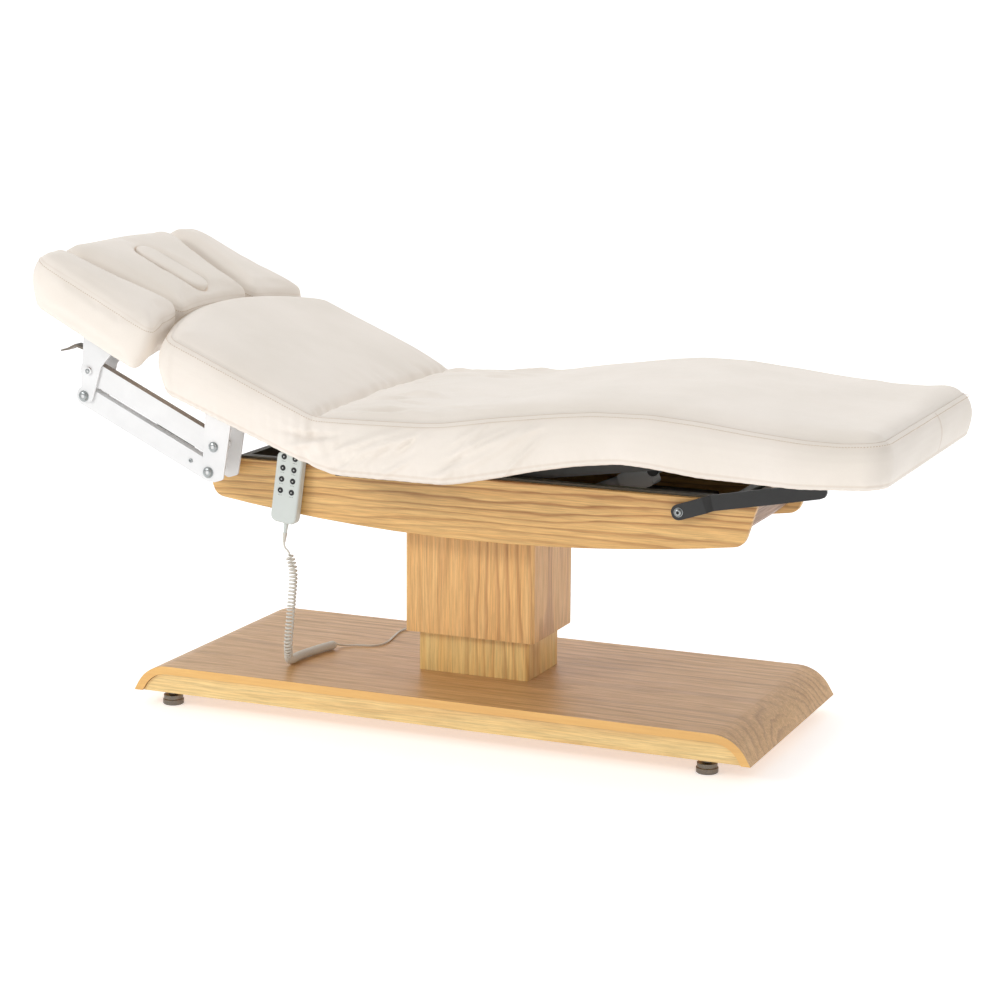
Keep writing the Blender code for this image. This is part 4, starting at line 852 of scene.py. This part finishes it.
def add_stitch(bm, centre, ahead, normal, length=0.0040, radius=0.0007):
    side = ahead.cross(normal).normalized()
    rings = []
    for t, size in ((-0.5, 0.35), (-0.25, 1.0), (0.25, 1.0), (0.5, 0.35)):
        middle = centre + ahead * (t * length) + normal * (radius * (0.5 if abs(t) < 0.4 else -0.3))
        rings.append([middle + (side * cos(a) + normal * sin(a)) * radius * size
                      for a in (0, pi / 2, pi, 3 * pi / 2)])
    loft(bm, rings, capped=True)


def make_mattress(leather, thread):
    form = Mattress().build()
    whole = bpy.data.meshes.new("mattress")
    whole.from_pydata(form.points.tolist(), [], form.faces)
    bm = bmesh.new()
    bm.from_mesh(whole)
    bmesh.ops.recalc_face_normals(bm, faces=bm.faces)
    bm.to_mesh(whole)
    bm.free()
    whole.update()
    normals = np.array([tuple(v.normal) for v in whole.vertices])
    polygons = [tuple(p.vertices) for p in whole.polygons]
    stitches = mattress_stitches(form)
    covers = (
        ("back_cover", ("back_cushion", "seat_cushion"), "lift", "back",
         (-0.180, 0, 0.62), (-0.365, 0, 0.66)),
        ("thigh_cover", ("thigh_cushion",), "lift", "thigh", (-0.085, 0, 0.62), (0.110, 0, 0.62)),
        ("calf_cover", ("calf_cushion",), "thigh", "calf", (0.330, 0, 0.68), (0.580, 0, 0.68)),
    )
    for number, (name, nodes, first, second, start, end) in enumerate(covers):
        mine = [polygons[i] for i in np.nonzero(form.owner == number)[0]]
        used = sorted({v for face in mine for v in face})
        index = {v: i for i, v in enumerate(used)}
        mesh = bpy.data.meshes.new(name)
        mesh.from_pydata(form.points[used].tolist(), [], [[index[v] for v in f] for f in mine])
        values = mesh.attributes.new("seam", "FLOAT", "POINT")
        values.data.foreach_set("value", form.seam[used].astype(np.float32))
        mesh.shade_smooth()
        mesh.normals_split_custom_set_from_vertices(normals[used].tolist())
        mesh.materials.append(leather)
        cover = bpy.data.objects.new(name, mesh)
        SCENE.collection.objects.link(cover)
        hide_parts(*nodes)
        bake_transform(cover)
        sewn = make_object(name + "_stitches", stitches[number], thread, None)
        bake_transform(sewn)


# ---------------------------------------------------------------- headrest pads
HEAD_PIVOT = (-0.885, 0.701)
HEAD_TILT = 25.5
PAD_LOW, PAD_HIGH = 0.1412, 0.2505
PAD_REACH = 0.24  # from the pivot to the head end
PAD_LEAN = 0.036
PAD_CROWN = 0.019
PAD_SEAM = 0.945  # share of the pad's height
SLOT_MIDDLE = -0.062
SLOT_REACH = (0.200 - 0.075) / 2


def head_frame():
    """The tilted headrest's axes: along towards the backrest, across, and up."""
    return Matrix.Translation((HEAD_PIVOT[0], 0, HEAD_PIVOT[1])) @ Matrix.Rotation(
        radians(HEAD_TILT), 4, "Y")


def arch(y, half, depth):
    radius = (half * half + depth * depth) / (2 * depth)
    return sqrt(radius * radius - y * y) - (radius - depth)


def pad_foot(y):
    return 0.1325 - arch(y, 0.375, 0.065)


def pad_head(y):
    return -0.212 - arch(y, 0.375, 0.028)


def pad_outline(sides, corner, steps=14):
    """The outline of one pad in plan, its ends on the shared arcs and its corners round."""
    foot_first, foot_last, head_first, head_last = sides
    points = [(pad_foot(foot_first + (foot_last - foot_first) * k / steps),
               foot_first + (foot_last - foot_first) * k / steps) for k in range(steps + 1)]
    points += [(pad_head(head_first + (head_last - head_first) * k / steps),
                head_first + (head_last - head_first) * k / steps) for k in range(steps + 1)]
    radii = [0] * len(points)
    for k, radius in zip((0, steps, steps + 1, len(points) - 1), corner):
        radii[k] = radius
    for k in (1, steps - 1, steps + 2, len(points) - 2, 2, steps - 2, steps + 3, len(points) - 3):
        points[k] = None
    kept = [k for k, point in enumerate(points) if point]
    return rounded([points[k] for k in kept], [radii[k] for k in kept], 8)


def outline_distance(points, outline):
    """For each point its distance to the closed outline, and the unit vector away from the
    nearest place on it."""
    line = np.array(outline)
    best = np.full(len(points), 9.0)
    away = np.zeros((len(points), 2))
    for a, b in zip(line, np.roll(line, -1, axis=0)):
        d = b - a
        t = np.clip(((points - a) @ d) / max(d @ d, 1e-12), 0, 1)
        gap = points - a - t[:, None] * d
        size = np.hypot(*gap.T)
        near = size < best
        best = np.where(near, size, best)
        away[near] = gap[near] / np.maximum(size[near], 1e-9)[:, None]
    return best, away


def inside(points, outline):
    line = np.array(outline)
    crossed = np.zeros(len(points), bool)
    for (ax, ay), (bx, by) in zip(line, np.roll(line, -1, axis=0)):
        spans = (ay > points[:, 1]) != (by > points[:, 1])
        if abs(by - ay) > 1e-12:
            crossed ^= spans & (points[:, 0] < (bx - ax) * (points[:, 1] - ay) / (by - ay) + ax)
    return crossed


def filled(made, cap, frames=20):
    """Lets the cover swell like cloth round its filling. Each point stays within cap of
    its place, and the underside, which lies on the board, stays flat."""
    mesh = made.data
    start = np.empty(len(mesh.vertices) * 3, np.float32)
    mesh.vertices.foreach_get("co", start)
    start = start.reshape(-1, 3)
    cloth = made.modifiers.new("filling", "CLOTH")
    cloth.settings.quality = 4
    cloth.settings.mass = 0.25
    cloth.settings.use_pressure = True
    cloth.settings.uniform_pressure_force = 4
    cloth.settings.effector_weights.gravity = 0
    cloth.settings.tension_stiffness = 12
    cloth.settings.compression_stiffness = 12
    cloth.settings.bending_stiffness = 0.6
    cloth.collision_settings.use_collision = False
    cloth.collision_settings.use_self_collision = False
    cloth.point_cache.frame_start = 1
    cloth.point_cache.frame_end = frames
    for number in range(1, frames + 1):
        SCENE.frame_set(number)
    graph = bpy.context.evaluated_depsgraph_get()
    swollen = made.evaluated_get(graph).data
    spots = np.empty(len(swollen.vertices) * 3, np.float32)
    swollen.vertices.foreach_get("co", spots)
    move = spots.reshape(-1, 3) - start
    size = np.linalg.norm(move, axis=1)
    move *= np.minimum(1, cap / np.maximum(size, 1e-9))[:, None]
    move *= np.clip((start[:, 2] - PAD_LOW) / (PAD_HIGH - PAD_LOW) / 0.25, 0, 1)[:, None]
    made.modifiers.remove(cloth)
    SCENE.frame_set(1)
    mesh.vertices.foreach_set("co", (start + move).astype(np.float32).ravel())


def head_lean(u, share):
    """How far in the head-end wall stands at a share of the pad's height."""
    return PAD_LEAN * np.maximum(0, -u) / PAD_REACH * (1 - share)


def pad_block(name, outline, hole):
    """The pad's plain solid as an even, fine mesh."""
    bm = bmesh.new()
    bottom = [(u + head_lean(u, 0), v * 0.99, PAD_LOW) for u, v in outline]
    add_prism(bm, bottom, [(u, v, PAD_HIGH) for u, v in outline])
    bmesh.ops.recalc_face_normals(bm, faces=bm.faces)
    made = linked(name, bm)
    if hole:
        tool = bmesh.new()
        low, high = PAD_LOW - 0.05, PAD_HIGH + 0.05
        add_prism(tool, [(u, v, low) for u, v in hole], [(u, v, high) for u, v in hole])
        cut(made, tool)
    remesh = made.modifiers.new("even", "REMESH")
    remesh.mode = "VOXEL"
    remesh.voxel_size = 0.0042
    baked(made)
    return made


def puffed(mesh, outline, hole, seed):
    """Bellies the walls out, swells the top by its distance to the outline, and presses
    the seam in below the top edge."""
    spots = np.array([tuple(v.co) for v in mesh.vertices])
    height = np.clip((spots[:, 2] - PAD_LOW) / (PAD_HIGH - PAD_LOW), 0, 1)
    flat = spots[:, :2].copy()
    flat[:, 0] -= head_lean(flat[:, 0], height)
    edge, away = outline_distance(flat, outline)
    within = inside(flat, outline)
    outward = np.where(within[:, None], -away, away)
    near = np.clip(1 - edge / 0.016, 0, 1)
    belly = 0.0052 * np.sin(pi * np.clip(height, 0, 1) ** 0.9) - 0.0030
    top_tuck = -0.0050 * np.clip((height - 0.80) / 0.20, 0, 1) ** 2
    tuck = top_tuck - 0.0080 * np.clip((0.14 - height) / 0.14, 0, 1) ** 2
    belly = belly + 0.014 * np.clip(-outward[:, 0], 0, 1) * np.sin(pi * height)
    spots[:, :2] += outward * ((belly + tuck) * near)[:, None]
    rise = np.clip((height - 0.55) / 0.45, 0, 1)
    reach = np.where(edge < 0.0045, 0, edge)
    swell = PAD_CROWN * (0.5 * (1 - np.exp(-reach / 0.016)) + 0.5 * (1 - np.exp(-reach / 0.050)))
    if hole:
        gap, _ = outline_distance(flat, hole)
        swell -= 0.006 * np.exp(-gap / 0.008)
    source = np.random.default_rng(seed)
    a, b, c = source.uniform(0, 6, 3)
    swell += 0.0011 * (np.sin(22 * spots[:, 0] + a) * np.sin(19 * spots[:, 1] + b) + np.sin(
        31 * spots[:, 1] + 12 * spots[:, 0] + c)) * np.clip(reach / 0.03, 0, 1)
    spots[:, 2] += rise * swell
    groove = np.exp(-((height - PAD_SEAM) / 0.020) ** 2) * near
    spots[:, :2] -= outward * (0.0009 * groove)[:, None]
    mesh.vertices.foreach_set("co", spots.astype(np.float32).ravel())


def mark_pad_seam(mesh, outline, hole):
    """Writes how dark the sewn line is at each point."""
    spots = np.array([tuple(v.co) for v in mesh.vertices])
    height = (spots[:, 2] - PAD_LOW) / (PAD_HIGH - PAD_LOW)
    flat = spots[:, :2].copy()
    flat[:, 0] -= head_lean(flat[:, 0], np.clip(height, 0, 1))
    edge, _ = outline_distance(flat, outline)
    band = np.clip(1 - np.abs(height - PAD_SEAM) / 0.020, 0, 1)
    seam = 0.5 * band * np.clip(1 - edge / 0.013, 0, 1)
    if hole:
        gap, _ = outline_distance(flat, hole)
        seam = np.maximum(seam, np.clip(1 - gap / 0.003, 0, 1) * 0.8)
    values = mesh.attributes.new("seam", "FLOAT", "POINT")
    values.data.foreach_set("value", seam.astype(np.float32))


def pad_stitches(made, outline):
    """Stitches round the pad below its seam, laid on the finished surface."""
    stitch = bmesh.new()
    line = even_line([Vector((u, v, 0)) for u, v in outline + outline[:1]], STITCH_PITCH)
    turn = head_frame()
    share = 0.895
    for here, there in zip(line, line[1:]):
        ahead = (there - here).normalized()
        normal = Vector((ahead.y, -ahead.x, 0))
        behind = here - normal * 0.004
        if not inside(np.array([[behind.x, behind.y]]), outline)[0]:
            normal = -normal
        centre = here + normal * 0.0010 + Vector((0, 0, PAD_LOW + (PAD_HIGH - PAD_LOW) * share))
        centre.x += head_lean(here.x, share)
        _, centre, normal, _ = made.closest_point_on_mesh(centre)
        add_stitch(stitch, turn @ centre, turn.to_3x3() @ ahead, turn.to_3x3() @ normal)
    return stitch


def shape_pad(name, outline, leather, hole, seed):
    """A filled and sewn pad in the headrest's frame."""
    made = pad_block(name, outline, hole)
    puffed(made.data, outline, hole, seed)
    filled(made, 0.004)
    smooth = made.modifiers.new("smooth", "SMOOTH")
    smooth.iterations = 10
    smooth.factor = 0.5
    divide = made.modifiers.new("fine", "SUBSURF")
    divide.levels = 1
    divide.render_levels = 1
    baked(made)
    mark_pad_seam(made.data, outline, hole)
    made.data.materials.clear()
    made.data.materials.append(leather)
    made.data.shade_smooth()
    made.matrix_world = head_frame()
    return made


def slot_outline(radius):
    return stadium((SLOT_MIDDLE - SLOT_REACH, 0), (SLOT_MIDDLE + SLOT_REACH, 0), radius, 18)


def make_head_pads(leather, thread):
    centre = pad_outline((-0.1575, 0.1575, 0.2375, -0.2375), (0.016, 0.016, 0.048, 0.048))
    pads = [("head_pad_centre", centre, slot_outline(0.0375), 5)]
    for side, sign in (("near", -1), ("far", 1)):
        sides = [sign * y for y in (0.1635, 0.372, 0.350, 0.2435)]
        outline = pad_outline(sides, (0.030, 0.022, 0.046, 0.028), 6)
        pads.append(("head_pad_" + side, outline, None, 7 + sign))
    for name, outline, hole, seed in pads:
        made = shape_pad(name + "_cover", outline, leather, hole, seed)
        stitch = pad_stitches(made, outline)
        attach(made, "headrest")
        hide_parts(name)
        make_object(name + "_stitches", stitch, thread, "headrest")


def make_face_plug(leather):
    """The oval plug of the face slot, domed at the top."""
    levels = ((0.2195, 0.0), (0.2185, 0.004), (0.235, 0.0), (0.2610, 0.0), (0.2660, 0.0010),
              (0.2685, 0.004), (0.2700, 0.012), (0.2705, 0.022))
    bm = bmesh.new()
    rings = [[(u, v, level) for u, v in slot_outline(0.0355 - inset)] for level, inset in levels]
    loft(bm, rings, capped=True)
    made = make_object("face_plug", bm, leather, None, angle=60)
    made.matrix_world = head_frame()
    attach(made, "plug")
    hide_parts("face_slot_plug")


# ---------------------------------------------------------------- carried-over nodes
def dress(name, material, edge=0.0):
    """Gives a CAD node its finish and, where edge is set, rounds its sharp edges."""
    node = NODES[name]
    for part in node.material_slots:
        part.material = material
    if not node.material_slots:
        node.data.materials.append(material)
    if edge:
        bevel = node.modifiers.new("soft_edges", "BEVEL")
        bevel.width = edge
        bevel.segments = 2
        bevel.limit_method = "ANGLE"
        bevel.angle_limit = radians(38)
        bevel.harden_normals = False


def dress_nodes(looks):
    for names, material, edge in looks:
        for name in names.split():
            dress(name, material, edge)


# ---------------------------------------------------------------- fittings
ARM_BACK_UPPER = (-0.555, 0.610)
ARM_BACK_LOWER = (-0.569, 0.552)
ARM_REACH = (-0.316, 0.149)
STRUT_PIVOT = (0.503, 0.540)
ARM_HEAD_UPPER = (ARM_BACK_UPPER[0] + ARM_REACH[0], ARM_BACK_UPPER[1] + ARM_REACH[1])
ARM_HEAD_LOWER = (ARM_BACK_LOWER[0] + ARM_REACH[0], ARM_BACK_LOWER[1] + ARM_REACH[1])


def make_bolts(zinc):
    """Button-head bolts on washers at the arms' and struts' pivots, and one small screw."""
    groups = (
        ("mount_bolts", "back", ((ARM_BACK_UPPER, 0.0100), (ARM_BACK_LOWER, 0.0108))),
        ("head_bolts", "headrest", ((ARM_HEAD_UPPER, 0.0066), (ARM_HEAD_LOWER, 0.0108))),
    )
    for name, body, places in groups:
        for side, sign in (("near", -1), ("far", 1)):
            bm = bmesh.new()
            for (x, z), radius in places:
                washer = [(0, 0), (radius * 1.18, 0), (radius * 1.18, 0.0009), (radius * 0.9, 0.0012)]
                add_turned(bm, washer, (x, sign * 0.3002, z), (0, sign, 0), 28)
                add_hex_bolt(bm, (x, sign * 0.3008, z), (0, sign, 0), radius, 0.0056)
            make_object(f"{name}_{side}", bm, zinc, body, angle=28)
    for side, sign in (("near", -1), ("far", 1)):
        bm = bmesh.new()
        add_turned(bm, [(0, 0), (0.0100, 0), (0.0100, 0.0010), (0.0080, 0.0014)],
                   (STRUT_PIVOT[0], sign * 0.2213, STRUT_PIVOT[1]), (0, sign, 0), 28)
        add_hex_bolt(bm, (STRUT_PIVOT[0], sign * 0.2224, STRUT_PIVOT[1]), (0, sign, 0), 0.0078, 0.0046)
        make_object("strut_bolt_" + side, bm, zinc, "struts", angle=28)
    bm = bmesh.new()
    along = Vector((ARM_REACH[0], 0, ARM_REACH[1])).normalized()
    place = Vector((ARM_BACK_LOWER[0], -0.2940, ARM_BACK_LOWER[1])) + along * 0.052
    add_hex_bolt(bm, place, (0, -1, 0), 0.0048, 0.0030)
    make_object("link_screw", bm, zinc, "lower_links", angle=28)


def make_handset_details(dark, pale):
    """The pale spot in the middle of every button and the small lamp dots beneath."""
    spot = [(0, -0.0004), (0.0016, -0.0004), (0.0016, 0.0003), (0.0011, 0.0006), (0, 0.0006)]
    dot = [(0, -0.0005), (0.0008, -0.0005), (0.0008, 0.0003), (0, 0.0004)]
    toward = (0, -1, 0)
    for name in [n for n in NODES if n.startswith("button_")]:
        low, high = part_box(name)
        middle = (Vector(low) + Vector(high)) / 2
        bm = bmesh.new()
        add_turned(bm, spot, (middle.x, low[1], middle.z), toward, 16)
        number, side = name.split("_")[1:]
        make_object(f"{name}_spot", bm, pale, f"key_{number}_{side}")
    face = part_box("handset_body")[0][1]
    lean = radians(7.7)
    along = Vector((cos(lean), 0, -sin(lean)))
    up = Vector((sin(lean), 0, cos(lean)))
    rows = bmesh.new()
    for number in range(1, 5):
        for side in ("left", "right"):
            low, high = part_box(f"button_{number}_{side}")
            middle = Vector(((low[0] + high[0]) / 2, face + 0.0002, (low[2] + high[2]) / 2))
            for shift in (-0.0035, 0, 0.0035):
                add_turned(rows, dot, middle + along * shift - up * 0.0105, toward, 8)
    make_object("handset_dots", rows, dark, "handset")


def make_relief(sheath):
    """The ribbed sleeve where the cord leaves the handset."""
    start, end = Vector(TAIL[0]) + Vector((0.0006, 0, 0.004)), Vector(TAIL[1])
    ribs, length, groove = 9, 0.022, 0.0007
    profile = [(0, -0.002)]
    for k in range(ribs):
        t = k / ribs
        radius = 0.0052 - 0.0022 * t
        profile += [(radius, t * length), (radius, (t + 0.6 / ribs) * length),
                    (radius - groove, (t + 0.62 / ribs) * length),
                    (radius - groove, (t + 0.98 / ribs) * length)]
    profile.append((0, 0.0222))
    bm = bmesh.new()
    add_turned(bm, profile, start, (end - start).normalized(), 20)
    make_object("cord_relief", bm, sheath, "handset", angle=30)


# ---------------------------------------------------------------- assembly
def dress_metal_and_plastic():
    white = painted("white_powder", srgb(236, 236, 236), 0.38)
    channel = painted("channel_white", srgb(236, 236, 236), 0.38)
    # The upper links' upward faces get painted shade, a brown-grey for the shadow the cushion casts into
    # the channel.
    paint_shade_on_top(channel, srgb(150, 136, 124))
    frame_black = painted("frame_black", srgb(46, 43, 38), 0.45)
    moulded = painted("black_moulded", srgb(30, 30, 31), 0.50, 0.16)
    bronze = painted("clevis_look", srgb(78, 66, 50), 0.42, 0.05, 0.6)
    steel = metal("steel_look", srgb(170, 170, 170), 0.30)
    feet = " ".join(n for n in NODES if n.startswith("levelling_foot"))
    dress_nodes((
        ("seat_frame", painted("olive_paint_look", srgb(90, 86, 74), 0.42), 0.0015),
        ("back_frame thigh_frame calf_frame headrest_board", frame_black, 0.0010),
        ("leg_strut_near leg_strut_far", painted("black_satin", srgb(34, 34, 34), 0.34, 0.14), 0.0010),
        ("headrest_upper_link_near headrest_upper_link_far", channel, 0.0012),
        ("headrest_lower_link_near headrest_lower_link_far", white, 0.0012),
        ("headrest_bracket_near headrest_bracket_far", white, 0.0009),
        ("head_mount_bracket_near head_mount_bracket_far", white, 0.0009),
        ("control_box mains_inlet cord_gland handset_holder", moulded, 0.0010),
        ("gas_spring_cylinder", moulded, 0), ("gas_spring_rod", bronze, 0),
        ("back_actuator leg_actuator", painted("actuator_grey", srgb(205, 205, 203), 0.50), 0.0010),
        ("back_actuator_rod leg_actuator_rod lift_column_outer lift_column_inner", steel, 0),
        ("release_lever", painted("lever_look", srgb(122, 112, 100), 0.42, 0.05, 0.3), 0.0006),
        (feet, metal("foot_steel_look", srgb(120, 114, 106), 0.30), 0),
    ))
    make_bolts(metal("zinc_look", srgb(164, 168, 168), 0.28, (30, 30, 30)))


def dress_wood():
    sides = wood_material("wood_golden", srgb(244, 200, 130), srgb(232, 182, 112), srgb(158, 98, 46),
                          arches=0.95)
    apron = wood_material("wood_apron", srgb(254, 222, 156), srgb(250, 212, 142), srgb(206, 152, 88),
                          tilt=(0, 2, 1), ring=12.0, arches=0.5)
    flat = wood_material("wood_flat", srgb(234, 188, 128), srgb(216, 167, 107), srgb(156, 104, 58),
                         tilt=(3, 1, 0), ring=12.0, arches=0.6, edge=srgb(226, 186, 128))
    column = wood_material("wood_column", srgb(254, 206, 136), srgb(246, 190, 116), srgb(178, 116, 60),
                           "Z", tilt=(3, 2, 0), ring=14.0)
    # A lighter copy of the column's wood for the lower sleeve: painted light that makes up for the shade
    # the sleeve stands in.
    sleeve = wood_material("wood_sleeve_painted_light", srgb(255, 224, 150), srgb(255, 208, 128), srgb(200, 138, 74),
                           "Z", tilt=(3, 2, 0), ring=14.0)
    # The trough hull's wood is the sides' pale wood darkened to brown: painted shade for the shadow the
    # hull lies in.
    hull_wood_painted_shade = wood_material("wood_inner_painted_shade", srgb(176, 130, 92), srgb(156, 114, 80), srgb(112, 78, 54),
                           "Y", tilt=(14, 0, 22))
    dress_nodes((
        ("base_top_shell", flat, 0.0016), ("base_apron_near base_apron_far", apron, 0.0012),
        ("column_lower_sleeve", sleeve, 0.0020), ("column_upper_sleeve", column, 0.0020),
        ("trough_side_near trough_side_far", sides, 0.0020), ("trough_hull", hull_wood_painted_shade, 0.0012),
    ))


def dress_handset(sheath):
    key = painted("key_look", srgb(26, 26, 27), 0.40, 0.05)
    dress("handset_body", painted("handset_look", srgb(206, 212, 208), 0.36, 0.05), 0.0012)
    for name in [n for n in NODES if n.startswith("button_")]:
        dress(name, key, 0.0004)
    make_handset_details(key, painted("key_spot_look", srgb(196, 200, 198), 0.5, 0.02))
    make_relief(sheath)


def build():
    make_camera()
    sheath = painted("cord_look", srgb(222, 218, 208), 0.48, 0.06)
    make_cords(sheath)
    make_stage()
    leather = leather_material()
    thread = painted("thread_look", srgb(206, 186, 164), 0.75, 0.2)
    make_mattress(leather, thread)
    make_head_pads(leather, thread)
    make_face_plug(leather)
    dress_wood()
    dress_metal_and_plastic()
    dress_handset(sheath)


build()
